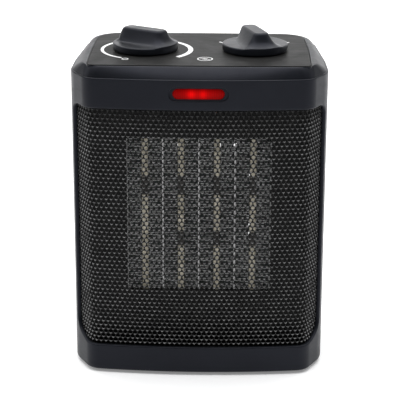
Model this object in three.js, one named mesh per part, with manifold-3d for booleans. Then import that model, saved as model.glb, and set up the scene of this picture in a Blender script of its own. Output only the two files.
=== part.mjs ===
// Ceramic (PTC) fan heater: a moulded two-part casing with a perforated front grille, a heating element of
// four ceramic modules, an axial fan with a shaded-pole motor, and two dials on a panel on top.
// Millimetres. +Z is up, the grille faces -Y, and the origin is on the floor, under the middle of the body.
// "Depth" is the distance behind the foremost line of the casing.
import * as THREE from "three";
import { mergeVertices } from "three/addons/utils/BufferGeometryUtils.js";
import Module from "manifold-3d";

const wasm = await Module();
wasm.setup();

// ---------------------------------------------------------------- driving dimensions
const BODY_WIDTH = 181;
const BODY_DEPTH = 130;
const BODY_BOTTOM = 2; // height of the casing's underside above the floor
const FOOT_ROUND = 2; // rounding along the casing's lower edge
const TOP_Z = 227.5; // flat top of the casing
const SHOULDER_DROP = 8; // from the flat top down to where the upright walls begin
const WALL = 2.5;
const GAP = 0.3; // clearance between touching pieces
const SPLIT_DEPTH = 84; // plane between the front and the rear casing

const FRONT_RADIUS = 560; // the front face is slightly bowed in plan
const BEND_INSET = 12.5; // from the body's side to the upright bend at the front
const BEND_RADIUS = 13;
const KNEE_DEPTH = 28; // where the canted facet meets the side wall
const KNEE_RADIUS = 30;
const SIDE_TAPER_DEPTH = 60;
const SIDE_TAPER_INSET = 1;
const SIDE_RADIUS = 60;
const REAR_CORNER_INSET = 7;
const REAR_CORNER_RADIUS = 22;
const REAR_BOW = 1.5;

const TOP_SIDE_INSET = 9.6; // flat top's edge, in from the body's side
const TOP_FRONT_DEPTH = 8.4;
const TOP_BACK_INSET = 14;
const TOP_CORNER = 9; // how far the flat top's front corners are cut back
const TOP_CORNER_RADIUS = 13;
const TOP_REAR_RADIUS = 20;
const RIM_SIDE = 3.9; // rim of casing left beside the control panel
const RIM_FRONT = 1.4;
const RIM_BACK = 3.1;
const TOP_SLAB = 5; // thickness of the casing's top round the panel opening
const LEDGE = 4; // how far the panel rests on the casing
const PANEL_THICK = 2.5;

const GRILLE_BOTTOM = 21.7;
const GRILLE_TOP = 197.9;
const GRILLE_EDGE_DEPTH = 24.5; // where the opening ends on the canted facets
const GRILLE_LOW_CORNER = [19, 16]; // radii of the lower corners, along the depth and upwards
const GRILLE_HIGH_CORNER = [8, 7];
const GRILLE_THICK = 0.8;
const GRILLE_LAP = 4; // how far the sheet runs behind the casing

const DIAL_X = 39; // the dials' axes, left and right of the middle
const DIAL_DEPTH = 58;
const KNOB_RADIUS = 23.25;
const KNOB_HEIGHT = 15.5; // above the panel
const KNOB_FLOAT = 0.9; // gap between panel and knob
const SKIRT_HEIGHT = 4.6;
const KNOB_DECK = 1.6; // thickness of the skirt's top
const BLADE_TOP = [32, 9]; // length and width of the grip's ridge
const THERMOSTAT_TURN = -30; // degrees that the grip is turned from left-right
const SELECTOR_TURN = -72;
const SPINDLE_RADIUS = 3;
const BUSH_RADIUS = 4.5;
const BUSH_SHOULDER = [8, 3]; // radius and height of the bush's shoulder
const NUT = [7.5, 2]; // radius over its corners, and height
const THERMOSTAT_HALF = [17, 11]; // half its length and half its width
const SELECTOR_HALF = 15;
const TAG_THICK = 0.8; // flat connector tags
const TAG_LONG = 6.4;

const LAMP_DROP = 17.9; // from the flat top to the lamp's middle
const LAMP_BEZEL = [41, 9.6];
const LAMP_BEZEL_DEPTH = 0.8;
const LENS = [35.5, 7];

const ELEMENT_Z = 114; // middle of the heating element, and the fan's axis
const ELEMENT_HEIGHT = 114; // between its two rails
const ELEMENT_DEPTH = 14;
const ELEMENT_FRONT = 26.3;
const MODULE_PITCH = 25.7;
const MODULE_COUNT = 4;
const PLATE_THICK = 1.2;
const STRIP_THICK = 4.4;
const RAIL_HEIGHT = 8.7;
const RAIL_POCKET = 3.2;
const FIN_PITCH = 6;
const FIN_THICK = 0.8;
const STONES = 6; // ceramic stones in a strip

const DUCT_WALL = 2.4;
const FLANGE_DEPTH = 24;
const FLANGE_THICK = 2;
const FLANGE_INSET = 10; // from the body's side to the flange's
const FLANGE_BOTTOM = 7;
const FLANGE_TOP = 213;
const PLENUM_BACK = 62;
const FAN_RADIUS = 51.5;
const FAN_TIP_GAP = 2.5;
const RING_BACK = 88;
const BLADES = 7;
const HUB_RADIUS = 13;

const SHAFT_RADIUS = 2.5;
const ROTOR_RADIUS = 13.7;
const STACK_FRONT = 94;
const STACK_THICK = 16;
const STACK_HALF = 30.5;
const STACK_TOP = 21; // above the fan's axis
const STACK_WINDOW = [19, -17]; // half its width, and its top
const LIMB = [-42, -29]; // the coil's limb, below the fan's axis
const COIL_HALF = 16;
const COIL_GAP = 0.4; // between the coil and its limb
const AIR_GAP = 0.6;
const BRACKET_THICK = 2;
const MOTOR_BOSS_RADIUS = 7;
const STANDOFF_X = 24;
const STANDOFF_RADIUS = 3.5;
const REAR_BRACKET_HALF = 29;

const GRIP = [89, 25, 17]; // carrying recess in the back: width, height and depth
const GRIP_Z = 199;
const SLOT_HEIGHT = 3.6;
const SLOT_PITCH = 8;
const SLOT_ROWS = 15;
const SLOT_LENGTH = 46;
const SLOT_RIB = 8; // upright rib between the two columns of slots
const SLOT_LOWEST = 40;
const INLET_X = -52;
const INLET_Z = 22;
const INLET_RADIUS = 6;
const INLET_COLLAR = 12; // how far its collar reaches in from the back

const FOOT_RADIUS = 6.5;
const FOOT_STEM = 2.3;
const FOOT_BARB = 1; // how far the barb stands out from the stem
const FOOT_INSET = 28; // from the body's side to the feet's middles
const FOOT_DEPTHS = [38, 104];
const SCREW_INSET = 20; // from the body's side to the casing screws
const SCREW_ZS = [17, 196];
const SCREW_RADIUS = 1.5;
const SCREW_HEAD = 3.5;
const SCREW_HEAD_THICK = 2.2;
const SCREW_SLOT = 0.9;
const SCREW_SEAT_DEPTH = 100;
const CASING_SCREW = 34; // lengths of the screws' shanks
const DUCT_SCREW = 12;
const MOTOR_SCREW = 8;
const DUCT_SCREW_X = 60;
const DUCT_SCREW_Z = 207;
const DUCT_BOSS_RADIUS = 3.8;
const FRONT_BOSS_RADIUS = 5; // round a casing screw, in front of the split
const FRONT_BOSS_LENGTH = 24;
const REAR_BOSS_RADIUS = 6.5;
const BOSS_RIB = 3;
const PILOT = 20; // how deep a casing screw's hole goes into the front casing
const KEEPER_X = 55; // upright tongues that hold the duct's foot
const KEEPER_HALF = 5;
const KEEPER_THICK = 3;
const HOOK_DEPTHS = [32, 72]; // hooks under the control panel
const HOOK = [2, 8]; // a hook's thickness and length

const TIP_X = 40;
const TIP_DEPTH = 100;
const TIP_TRAVEL = 3.5;

// ---------------------------------------------------------------- materials
const look = (color, roughness, metalness = 0) =>
  new THREE.MeshStandardMaterial({ color, roughness, metalness });
const CASING = look(0x26272b, 0.42);
const PANEL = look(0x4a4a4a, 0.38);
const KNOB = look(0x2b2c31, 0.4);
const MESH_STEEL = look(0x17171a, 0.35, 0.6);
const LENS_RED = look(0xc4060c, 0.15);
const GLASS = look(0xffb890, 0.1);
const DUCT_BLACK = look(0x161618, 0.6);
const ALUMINIUM = look(0xb9bbb6, 0.35, 1);
const CERAMIC = look(0xc9bda6, 0.8);
const STEEL = look(0x9b9da0, 0.35, 1);
const BRASS = look(0xc2a14e, 0.35, 1);
const COPPER = look(0xa5582c, 0.45, 0.6);
const WHITE_PLASTIC = look(0xe4e2da, 0.5);
const RUBBER = look(0x1c1c1c, 0.9);

// ---------------------------------------------------------------- solids
const atDepth = (depth) => depth - BODY_DEPTH / 2;

// A closed three.js geometry as a manifold-3d solid.
function solid(geometry) {
  const bare = geometry.index ? geometry.toNonIndexed() : geometry.clone();
  bare.deleteAttribute("normal");
  bare.deleteAttribute("uv");
  const merged = mergeVertices(bare, 1e-4);
  return new wasm.Manifold(
    new wasm.Mesh({
      numProp: 3,
      vertProperties: new Float32Array(merged.attributes.position.array),
      triVerts: new Uint32Array(merged.index.array),
    }),
  );
}

function named(name, material, shape) {
  const made = shape.getMesh();
  const geometry = new THREE.BufferGeometry();
  geometry.setAttribute("position", new THREE.BufferAttribute(new Float32Array(made.vertProperties), 3));
  geometry.setIndex(new THREE.BufferAttribute(new Uint32Array(made.triVerts), 1));
  geometry.computeVertexNormals();
  const mesh = new THREE.Mesh(geometry, material);
  mesh.name = name;
  return mesh;
}

const join = (...shapes) => shapes.reduce((sum, shape) => sum.add(shape));
const cut = (shape, ...tools) => tools.reduce((rest, tool) => rest.subtract(tool), shape);

// A box from its two ends along X, in depth and along Z.
function box([x0, x1], [d0, d1], [z0, z1]) {
  const geometry = new THREE.BoxGeometry(x1 - x0, d1 - d0, z1 - z0);
  geometry.translate((x0 + x1) / 2, atDepth((d0 + d1) / 2), (z0 + z1) / 2);
  return solid(geometry);
}

function rodZ(radius, [z0, z1], x, depth, sides = 24) {
  const geometry = new THREE.CylinderGeometry(radius, radius, z1 - z0, sides);
  geometry.rotateX(Math.PI / 2);
  geometry.translate(x, atDepth(depth), (z0 + z1) / 2);
  return solid(geometry);
}

function rodY(radius, [d0, d1], x, z, sides = 24) {
  const geometry = new THREE.CylinderGeometry(radius, radius, d1 - d0, sides);
  geometry.translate(x, atDepth((d0 + d1) / 2), z);
  return solid(geometry);
}

// A flat outline drawn in X and Z, as thick as the two depths say.
function plateY(points, [d0, d1]) {
  const shape = new THREE.Shape(points.map(([x, z]) => new THREE.Vector2(x, z)));
  const geometry = new THREE.ExtrudeGeometry(shape, { depth: d1 - d0, bevelEnabled: false });
  geometry.rotateX(Math.PI / 2);
  geometry.translate(0, atDepth(d1), 0);
  return solid(geometry);
}

// A closed solid through rings of equally many points, each at its own height, anticlockwise from above.
function loft(rings) {
  const count = rings[0].points.length;
  const position = rings.flatMap(({ points, z }) => points.flatMap(([x, y]) => [x, y, z]));
  const index = [];
  for (let ring = 0; ring + 1 < rings.length; ring++) {
    for (let i = 0; i < count; i++) {
      const next = (i + 1) % count;
      const low = ring * count;
      const high = low + count;
      index.push(low + i, low + next, high + next, low + i, high + next, high + i);
    }
  }
  const flat = (points) => points.map(([x, y]) => new THREE.Vector2(x, y));
  const last = (rings.length - 1) * count;
  for (const [a, b, c] of THREE.ShapeUtils.triangulateShape(flat(rings[0].points), [])) index.push(c, b, a);
  for (const [a, b, c] of THREE.ShapeUtils.triangulateShape(flat(rings.at(-1).points), [])) {
    index.push(last + a, last + b, last + c);
  }
  const geometry = new THREE.BufferGeometry();
  geometry.setAttribute("position", new THREE.Float32BufferAttribute(position, 3));
  geometry.setIndex(index);
  return solid(geometry);
}

const prism = (points, [z0, z1]) =>
  loft([
    { points, z: z0 },
    { points, z: z1 },
  ]);

// A pin turned about an upright axis, from its outline of radius and height.
function turned(profile, x, depth, sides = 24) {
  const points = profile.map(([radius, z]) => new THREE.Vector2(radius, z));
  const geometry = new THREE.LatheGeometry(points, sides);
  geometry.rotateX(Math.PI / 2);
  geometry.translate(x, atDepth(depth), 0);
  return solid(geometry);
}

// ---------------------------------------------------------------- plan outlines
const bow = (x) => FRONT_RADIUS - Math.sqrt(FRONT_RADIUS ** 2 - x ** 2);

// Corners of the right half, front to back, as [x, depth, radius, steps]; the left half mirrors them.
function mirrored(half) {
  const left = half
    .filter(([x]) => x > 0)
    .reverse()
    .map(([x, ...rest]) => [-x, ...rest]);
  return [...half, ...left].map(([x, depth, radius, steps]) => ({ x, y: atDepth(depth), radius, steps }));
}

// The corners with every edge moved inwards by a distance, or outwards if it is negative.
function inset(corners, distance) {
  const count = corners.length;
  const edges = corners.map((from, i) => {
    const to = corners[(i + 1) % count];
    const length = Math.hypot(to.x - from.x, to.y - from.y);
    const [dx, dy] = [(to.x - from.x) / length, (to.y - from.y) / length];
    return { x: from.x - dy * distance, y: from.y + dx * distance, dx, dy };
  });
  return corners.map((corner, i) => {
    const before = edges[(i + count - 1) % count];
    const after = edges[i];
    const turn = before.dx * after.dy - before.dy * after.dx;
    const along = ((after.x - before.x) * after.dy - (after.y - before.y) * after.dx) / turn;
    return {
      x: before.x + before.dx * along,
      y: before.y + before.dy * along,
      radius: corner.radius ? Math.max(corner.radius - distance, 0.5) : 0,
      steps: corner.steps,
    };
  });
}

// The outline's points, each rounded corner drawn as an arc of its own number of steps.
function rounded(corners) {
  const count = corners.length;
  return corners.flatMap((corner, i) => {
    if (!corner.radius) return [[corner.x, corner.y]];
    const towards = [corners[(i + count - 1) % count], corners[(i + 1) % count]].map((other) => {
      const length = Math.hypot(other.x - corner.x, other.y - corner.y);
      return [(other.x - corner.x) / length, (other.y - corner.y) / length];
    });
    const [[ax, ay], [bx, by]] = towards;
    const half = Math.acos(ax * bx + ay * by) / 2;
    const reach = corner.radius / Math.sin(half);
    const middle = Math.hypot(ax + bx, ay + by);
    const cx = corner.x + ((ax + bx) / middle) * reach;
    const cy = corner.y + ((ay + by) / middle) * reach;
    const sweep = Math.PI - 2 * half;
    const centreToCorner = Math.atan2(corner.y - cy, corner.x - cx);
    return Array.from({ length: corner.steps + 1 }, (_, step) => {
      const angle = centreToCorner + sweep * (step / corner.steps - 0.5);
      return [cx + corner.radius * Math.cos(angle), cy + corner.radius * Math.sin(angle)];
    });
  });
}

const HALF = BODY_WIDTH / 2;
const CREASE_Z = TOP_Z - SHOULDER_DROP;
const LAMP_Z = TOP_Z - LAMP_DROP;
const SCREW_X = HALF - SCREW_INSET;
const FOOT_X = HALF - FOOT_INSET;
const BEND_X = HALF - BEND_INSET;
const bodyCorners = mirrored([
  [0, 0, 0, 0],
  [BEND_X / 2, bow(BEND_X / 2), 0, 0],
  [BEND_X, bow(BEND_X), BEND_RADIUS, 4],
  [HALF, KNEE_DEPTH, KNEE_RADIUS, 4],
  [HALF - SIDE_TAPER_INSET, SIDE_TAPER_DEPTH, SIDE_RADIUS, 1],
  [HALF - REAR_CORNER_INSET, BODY_DEPTH - REAR_BOW, REAR_CORNER_RADIUS, 5],
  [0, BODY_DEPTH, 0, 0],
]);

const TOP_HALF = HALF - TOP_SIDE_INSET;
const topCorners = mirrored([
  [0, TOP_FRONT_DEPTH, 0, 0],
  [BEND_X / 2, TOP_FRONT_DEPTH + bow(BEND_X / 2) / 4, 0, 0],
  [TOP_HALF - 0.7 * TOP_CORNER, TOP_FRONT_DEPTH + bow(BEND_X) / 4, TOP_CORNER_RADIUS, 4],
  [TOP_HALF, TOP_FRONT_DEPTH + 1.2 * TOP_CORNER, TOP_CORNER_RADIUS, 4],
  [TOP_HALF, SIDE_TAPER_DEPTH, SIDE_RADIUS, 1],
  [TOP_HALF - 3, BODY_DEPTH - TOP_BACK_INSET - REAR_BOW, TOP_REAR_RADIUS, 5],
  [0, BODY_DEPTH - TOP_BACK_INSET, 0, 0],
]);

const PANEL_HALF = TOP_HALF - RIM_SIDE;
const PANEL_FRONT = TOP_FRONT_DEPTH + RIM_FRONT;
const PANEL_BACK = BODY_DEPTH - TOP_BACK_INSET - RIM_BACK;
const panelCorners = mirrored([
  [0, PANEL_FRONT, 0, 0],
  [BEND_X / 2, PANEL_FRONT + bow(BEND_X / 2) / 4, 0, 0],
  [PANEL_HALF, PANEL_FRONT + bow(BEND_X) / 4, 2.5, 2],
  [PANEL_HALF + 0.2, SIDE_TAPER_DEPTH, SIDE_RADIUS, 1],
  [PANEL_HALF - 1.7, PANEL_BACK - REAR_BOW, TOP_REAR_RADIUS - 2, 5],
  [0, PANEL_BACK, 0, 0],
]);
const panelOutline = (distance) => rounded(inset(panelCorners, distance));
const bodyOutline = (distance) => rounded(inset(bodyCorners, distance));

// ---------------------------------------------------------------- casing
const FLOOR_TOP = BODY_BOTTOM + WALL;
const CEILING = TOP_Z - TOP_SLAB;

const outerBody = loft([
  { points: bodyOutline(FOOT_ROUND), z: BODY_BOTTOM },
  { points: bodyOutline(0.3 * FOOT_ROUND), z: BODY_BOTTOM + 0.3 * FOOT_ROUND },
  { points: bodyOutline(0), z: BODY_BOTTOM + FOOT_ROUND },
  { points: bodyOutline(0), z: CREASE_Z },
  { points: rounded(topCorners), z: TOP_Z },
]);
const innerBody = loft([
  { points: bodyOutline(WALL + 1.5), z: FLOOR_TOP },
  { points: bodyOutline(WALL), z: FLOOR_TOP + 3 },
  { points: bodyOutline(WALL), z: CREASE_Z - 2 },
  { points: rounded(inset(topCorners, RIM_SIDE + LEDGE - 2)), z: CEILING },
]);
const ABOVE = TOP_Z + 10;
const panelSeat = join(
  prism(panelOutline(-GAP), [TOP_Z - PANEL_THICK - GAP, ABOVE]),
  prism(panelOutline(LEDGE), [CEILING - 5, ABOVE]),
);
const OUTSIDE = BODY_DEPTH + 10;
const frontHalf = box([-HALF - 5, HALF + 5], [-10, SPLIT_DEPTH - GAP / 2], [0, ABOVE]);
const rearHalf = box([-HALF - 5, HALF + 5], [SPLIT_DEPTH + GAP / 2, OUTSIDE], [0, ABOVE]);

// A quarter of an ellipse about a centre, from one angle to another, in degrees.
function quarter(cx, cy, rx, ry, from, to, steps = 5) {
  return Array.from({ length: steps + 1 }, (_, i) => {
    const angle = THREE.MathUtils.degToRad(from + ((to - from) * i) / steps);
    return [cx + rx * Math.cos(angle), cy + ry * Math.sin(angle)];
  });
}

// The grille opening runs round onto the canted facets, so its outline is drawn in the side view.
function grilleOpening() {
  const [lowD, lowZ] = GRILLE_LOW_CORNER;
  const [highD, highZ] = GRILLE_HIGH_CORNER;
  const profile = [
    [-5, GRILLE_BOTTOM],
    ...quarter(GRILLE_EDGE_DEPTH - lowD, GRILLE_BOTTOM + lowZ, lowD, lowZ, -90, 0),
    ...quarter(GRILLE_EDGE_DEPTH - highD, GRILLE_TOP - highZ, highD, highZ, 0, 90, 3),
    [-5, GRILLE_TOP],
  ];
  const shape = new THREE.Shape(profile.map(([depth, z]) => new THREE.Vector2(depth, z)));
  const geometry = new THREE.ExtrudeGeometry(shape, { depth: BODY_WIDTH + 20, bevelEnabled: false });
  // The drawing's x becomes the depth, its y the height, and its thickness runs along X.
  geometry.applyMatrix4(new THREE.Matrix4().set(0, 0, 1, 0, 1, 0, 0, 0, 0, 1, 0, 0, 0, 0, 0, 1));
  geometry.translate(-HALF - 10, atDepth(0), 0);
  return solid(geometry);
}

// A slot with round ends along X.
function slotOutline([length, height], z) {
  const radius = height / 2;
  const reach = length / 2 - radius;
  return [
    ...quarter(reach, z, radius, radius, -90, 90, 8),
    ...quarter(-reach, z, radius, radius, 90, 270, 8),
  ];
}

const footHoles = () =>
  [-FOOT_X, FOOT_X].flatMap((x) =>
    FOOT_DEPTHS.map((depth) => rodZ(FOOT_STEM + GAP, [BODY_BOTTOM - 2, FLOOR_TOP + 2], x, depth, 12)),
  );

function frontCasing() {
  let shell = cut(outerBody, innerBody, panelSeat, grilleOpening()).intersect(frontHalf);
  const bossSpan = [SPLIT_DEPTH - FRONT_BOSS_LENGTH, SPLIT_DEPTH - GAP / 2];
  const keeperZ = [FLOOR_TOP - 1, FLANGE_BOTTOM + 5];
  const keeperFronts = [FLANGE_DEPTH - GAP - KEEPER_THICK, FLANGE_DEPTH + FLANGE_THICK + GAP];
  const bosses = [-1, 1].flatMap((side) => [
    rodY(DUCT_BOSS_RADIUS, [1, FLANGE_DEPTH - GAP], side * DUCT_SCREW_X, DUCT_SCREW_Z, 12),
    ...keeperFronts.map((depth) =>
      box(
        [side * KEEPER_X - KEEPER_HALF, side * KEEPER_X + KEEPER_HALF],
        [depth, depth + KEEPER_THICK],
        keeperZ,
      ),
    ),
    ...SCREW_ZS.flatMap((z) => [
      rodY(FRONT_BOSS_RADIUS, bossSpan, side * SCREW_X, z, 16),
      box(side > 0 ? [SCREW_X, HALF - 2] : [2 - HALF, -SCREW_X], bossSpan, [
        z - BOSS_RIB / 2,
        z + BOSS_RIB / 2,
      ]),
    ]),
  ]);
  shell = join(shell, ...bosses).intersect(outerBody);
  const ductPilot = [FLANGE_DEPTH - DUCT_SCREW - 2, FLANGE_DEPTH + 1];
  const casingPilot = [SPLIT_DEPTH - PILOT, SPLIT_DEPTH + 1];
  const holes = [-1, 1].flatMap((side) => [
    rodY(SCREW_RADIUS + GAP, ductPilot, side * DUCT_SCREW_X, DUCT_SCREW_Z, 12),
    ...SCREW_ZS.map((z) => rodY(SCREW_RADIUS + GAP, casingPilot, side * SCREW_X, z, 12)),
  ]);
  const bezel = plateY(slotOutline(LAMP_BEZEL, LAMP_Z), [-5, LAMP_BEZEL_DEPTH]);
  const window = plateY(slotOutline([LENS[0] + 2 * GAP, LENS[1] + 2 * GAP], LAMP_Z), [-5, LENS_SEAT + 1]);
  return cut(shell, ...holes, bezel, window, ...footHoles());
}

function intakeSlots() {
  const centres = [-1, 1].map((side) => (side * (SLOT_LENGTH + SLOT_RIB)) / 2);
  return centres.flatMap((x) =>
    Array.from({ length: SLOT_ROWS }, (_, row) => {
      const z = SLOT_LOWEST + row * SLOT_PITCH;
      return box([x - SLOT_LENGTH / 2, x + SLOT_LENGTH / 2], [BODY_DEPTH - 8, OUTSIDE], [
        z - SLOT_HEIGHT / 2,
        z + SLOT_HEIGHT / 2,
      ]);
    }),
  );
}

function rearCasing() {
  const [gripWidth, gripHeight, gripDepth] = GRIP;
  const gripBox = (more) =>
    box(
      [-gripWidth / 2 - more, gripWidth / 2 + more],
      [BODY_DEPTH - gripDepth - more, OUTSIDE],
      [GRIP_Z - gripHeight / 2 - more, GRIP_Z + gripHeight / 2 + more],
    );
  const bosses = [-1, 1].flatMap((side) =>
    SCREW_ZS.map((z) => rodY(REAR_BOSS_RADIUS, [SPLIT_DEPTH + GAP / 2, OUTSIDE], side * SCREW_X, z, 16)),
  );
  const collar = rodY(INLET_RADIUS + WALL, [BODY_DEPTH - INLET_COLLAR, OUTSIDE], INLET_X, INLET_Z, 20);
  const shell = cut(outerBody, innerBody, panelSeat).intersect(rearHalf);
  const solidShell = join(shell, gripBox(WALL), ...bosses, collar).intersect(outerBody);
  const holes = [-1, 1].flatMap((side) =>
    SCREW_ZS.flatMap((z) => [
      rodY(SCREW_RADIUS + GAP, [SPLIT_DEPTH - 1, OUTSIDE], side * SCREW_X, z, 12),
      rodY(SCREW_HEAD + GAP, [SCREW_SEAT_DEPTH, OUTSIDE], side * SCREW_X, z, 16),
    ]),
  );
  const inlet = rodY(INLET_RADIUS, [BODY_DEPTH - INLET_COLLAR - 3, OUTSIDE], INLET_X, INLET_Z, 20);
  const plungerHole = rodZ(PLUNGER_RADIUS + GAP, [0, FLOOR_TOP + 1], TIP_X, TIP_DEPTH, 16);
  return cut(solidShell, gripBox(0), ...holes, inlet, plungerHole, ...intakeSlots(), ...footHoles());
}

function controlPanel() {
  const plate = prism(panelOutline(0), [TOP_Z - PANEL_THICK, TOP_Z]);
  const [hookThick, hookLength] = HOOK;
  const hooks = [-1, 1].flatMap((side) =>
    HOOK_DEPTHS.map((depth) => {
      const x = side * (PANEL_HALF - LEDGE - 1.4);
      const across = [x - hookThick / 2, x + hookThick / 2];
      return box(across, [depth - hookLength / 2, depth + hookLength / 2], [CEILING - 3, TOP_Z - 1]);
    }),
  );
  const holes = [-DIAL_X, DIAL_X].map((x) =>
    rodZ(BUSH_RADIUS + GAP, [TOP_Z - PANEL_THICK - 1, TOP_Z + 1], x, DIAL_DEPTH, 20),
  );
  return cut(join(plate, ...hooks), ...holes);
}

// The sheet follows the casing's inner face, behind the opening.
function frontGrille() {
  const sheet = cut(
    prism(bodyOutline(WALL + GAP), [GRILLE_BOTTOM - GRILLE_LAP, GRILLE_TOP + GRILLE_LAP]),
    prism(bodyOutline(WALL + GAP + GRILLE_THICK), [GRILLE_BOTTOM - 9, GRILLE_TOP + 9]),
  );
  return sheet.intersect(box([-HALF, HALF], [-5, GRILLE_EDGE_DEPTH + GRILLE_LAP], [0, TOP_Z]));
}

function foot(x, depth) {
  const seat = BODY_BOTTOM - GAP;
  const barb = FLOOR_TOP + GAP;
  return turned(
    [
      [0, 0],
      [FOOT_RADIUS - 0.8, 0],
      [FOOT_RADIUS, 0.6], // a small chamfer round the sole
      [FOOT_RADIUS, seat],
      [FOOT_STEM, seat],
      [FOOT_STEM, barb],
      [FOOT_STEM + FOOT_BARB, barb],
      [FOOT_STEM - 0.8, barb + 2.5],
      [0, barb + 2.5],
    ],
    x,
    depth,
    16,
  );
}

// A pan-headed screw driven towards the front: its head's seat is at the given depth.
function screw(x, z, seatDepth, length) {
  const headSpan = [seatDepth + GAP, seatDepth + GAP + SCREW_HEAD_THICK];
  const head = rodY(SCREW_HEAD, headSpan, x, z, 16);
  const shank = rodY(SCREW_RADIUS, [seatDepth - length, seatDepth + 1], x, z, 10);
  const slot = box(
    [x - SCREW_HEAD, x + SCREW_HEAD],
    [headSpan[1] - SCREW_SLOT, headSpan[1] + 1],
    [z - SCREW_SLOT / 2, z + SCREW_SLOT / 2],
  );
  return cut(join(head, shank), slot);
}

// ---------------------------------------------------------------- indicator lamp
const LENS_FLANGE = [LENS[0] + 5, LENS[1] + 3, 1.1];
// The flange lies behind the bowed wall, clear of it at the flange's two ends.
const LENS_SEAT = WALL + GAP + (bow(BEND_X / 2) * LENS_FLANGE[0]) / BEND_X;

function lampLens() {
  const [length, height, thick] = LENS_FLANGE;
  const lens = plateY(slotOutline(LENS, LAMP_Z), [LAMP_BEZEL_DEPTH - 0.4, LENS_SEAT + thick / 2]);
  const flange = plateY(slotOutline([length, height], LAMP_Z), [LENS_SEAT, LENS_SEAT + thick]);
  return join(lens, flange);
}

const HOLDER_FRONT = LENS_SEAT + LENS_FLANGE[2] + GAP;
const HOLDER_DEEP = 10;
const NEON = [2.4, 16]; // the glass's radius, and its length between its round ends

function lampHolder() {
  const [width, height] = LENS;
  const block = box([-width / 2 - 4, width / 2 + 4], [HOLDER_FRONT, HOLDER_FRONT + HOLDER_DEEP], [
    LAMP_Z - height / 2 - 3,
    LAMP_Z + height / 2 + 3,
  ]);
  const pocket = box([-width / 2, width / 2], [HOLDER_FRONT - 1, HOLDER_FRONT + HOLDER_DEEP - 2], [
    LAMP_Z - height / 2 - 0.5,
    LAMP_Z + height / 2 + 0.5,
  ]);
  return cut(block, pocket);
}

function neonLamp() {
  const [radius, straight] = NEON;
  const geometry = new THREE.CapsuleGeometry(radius, straight, 4, 12);
  geometry.rotateZ(Math.PI / 2);
  geometry.translate(0, atDepth(HOLDER_FRONT + 4), LAMP_Z);
  return solid(geometry);
}

// ---------------------------------------------------------------- dials
// An oblong section, longest along X, with round ends.
function oblong(length, width, steps = 3) {
  const radius = width / 2;
  const reach = length / 2 - radius;
  return [
    ...quarter(reach, 0, radius, radius, -90, 90, 2 * steps),
    ...quarter(-reach, 0, radius, radius, 90, 270, 2 * steps),
  ];
}

const KNOB_ROOF = TOP_Z + KNOB_FLOAT + SKIRT_HEIGHT - KNOB_DECK; // ceiling of the knob's hollow

// A round skirt with a blade to grip, which flares out to the skirt at its foot.
function knob(turn) {
  const bottom = TOP_Z + KNOB_FLOAT;
  const deck = bottom + SKIRT_HEIGHT;
  const top = TOP_Z + KNOB_HEIGHT;
  const [length, width] = BLADE_TOP;
  const across = 2 * KNOB_RADIUS;
  const skirt = turned(
    [
      [0, bottom],
      [KNOB_RADIUS, bottom],
      [KNOB_RADIUS, deck - 1],
      [KNOB_RADIUS - 0.8, deck],
      [0, deck],
    ],
    0,
    BODY_DEPTH / 2,
    36,
  );
  const blade = loft([
    { points: oblong(across, 0.46 * across), z: deck - 1 },
    { points: oblong(across - 2, 0.36 * across), z: deck + 1 },
    { points: oblong(length + 8, width + 3), z: deck + 0.45 * (top - deck) },
    { points: oblong(length + 4, width + 1), z: top - 1.2 },
    { points: oblong(length, width), z: top },
  ]);
  const rim = rodZ(KNOB_RADIUS, [bottom, top + 1], 0, BODY_DEPTH / 2, 36);
  const hollow = rodZ(KNOB_RADIUS - 2.5, [bottom - 1, KNOB_ROOF], 0, BODY_DEPTH / 2, 30);
  const bore = rodZ(SPINDLE_RADIUS + GAP, [bottom - 1, top - 5], 0, BODY_DEPTH / 2, 20);
  return cut(join(skirt, blade.intersect(rim)), hollow, bore).rotate([0, 0, turn]);
}

const CONTROL_Z = [TOP_Z - 24.5, TOP_Z - PANEL_THICK - GAP - 2.1]; // the blocks of the two controls
const SPINDLE_FOOT = CONTROL_Z[0] + 5.5;
const spindle = (x) => rodZ(SPINDLE_RADIUS, [SPINDLE_FOOT, TOP_Z + KNOB_HEIGHT - 5.5], x, DIAL_DEPTH, 20);

function nut(x) {
  const hex = rodZ(NUT[0], [TOP_Z + GAP, TOP_Z + GAP + NUT[1]], x, DIAL_DEPTH, 6);
  return cut(hex, rodZ(BUSH_RADIUS + GAP, [TOP_Z, TOP_Z + 5], x, DIAL_DEPTH, 20));
}

// The bush and the shoulder that a dial's control hangs from, under the panel.
function bushed(block, x) {
  const under = TOP_Z - PANEL_THICK - GAP;
  const shoulder = rodZ(BUSH_SHOULDER[0], [under - BUSH_SHOULDER[1], under], x, DIAL_DEPTH, 20);
  const bush = rodZ(BUSH_RADIUS, [under - 1, KNOB_ROOF - 2 * GAP], x, DIAL_DEPTH, 20);
  const bore = rodZ(SPINDLE_RADIUS + GAP, [SPINDLE_FOOT - GAP, ABOVE], x, DIAL_DEPTH, 20);
  return cut(join(block, shoulder, bush), bore);
}

// An upright connector tag with its broad faces to the sides.
const tag = (x, depth, z) =>
  box([x - TAG_THICK / 2, x + TAG_THICK / 2], [depth - TAG_LONG / 2, depth + TAG_LONG / 2], z);

function thermostatBody() {
  const [length, width] = THERMOSTAT_HALF;
  const frame = box(
    [-DIAL_X - length, -DIAL_X + length],
    [DIAL_DEPTH - width, DIAL_DEPTH + width],
    CONTROL_Z,
  );
  const slit = [CONTROL_Z[0] + 6, CONTROL_Z[0] + 10];
  const slitDepth = [DIAL_DEPTH - width - 1, DIAL_DEPTH - width + 5];
  const contactGap = box([-DIAL_X - length - 1, -DIAL_X + length - 6], slitDepth, slit);
  return cut(bushed(frame, -DIAL_X), contactGap);
}

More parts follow.
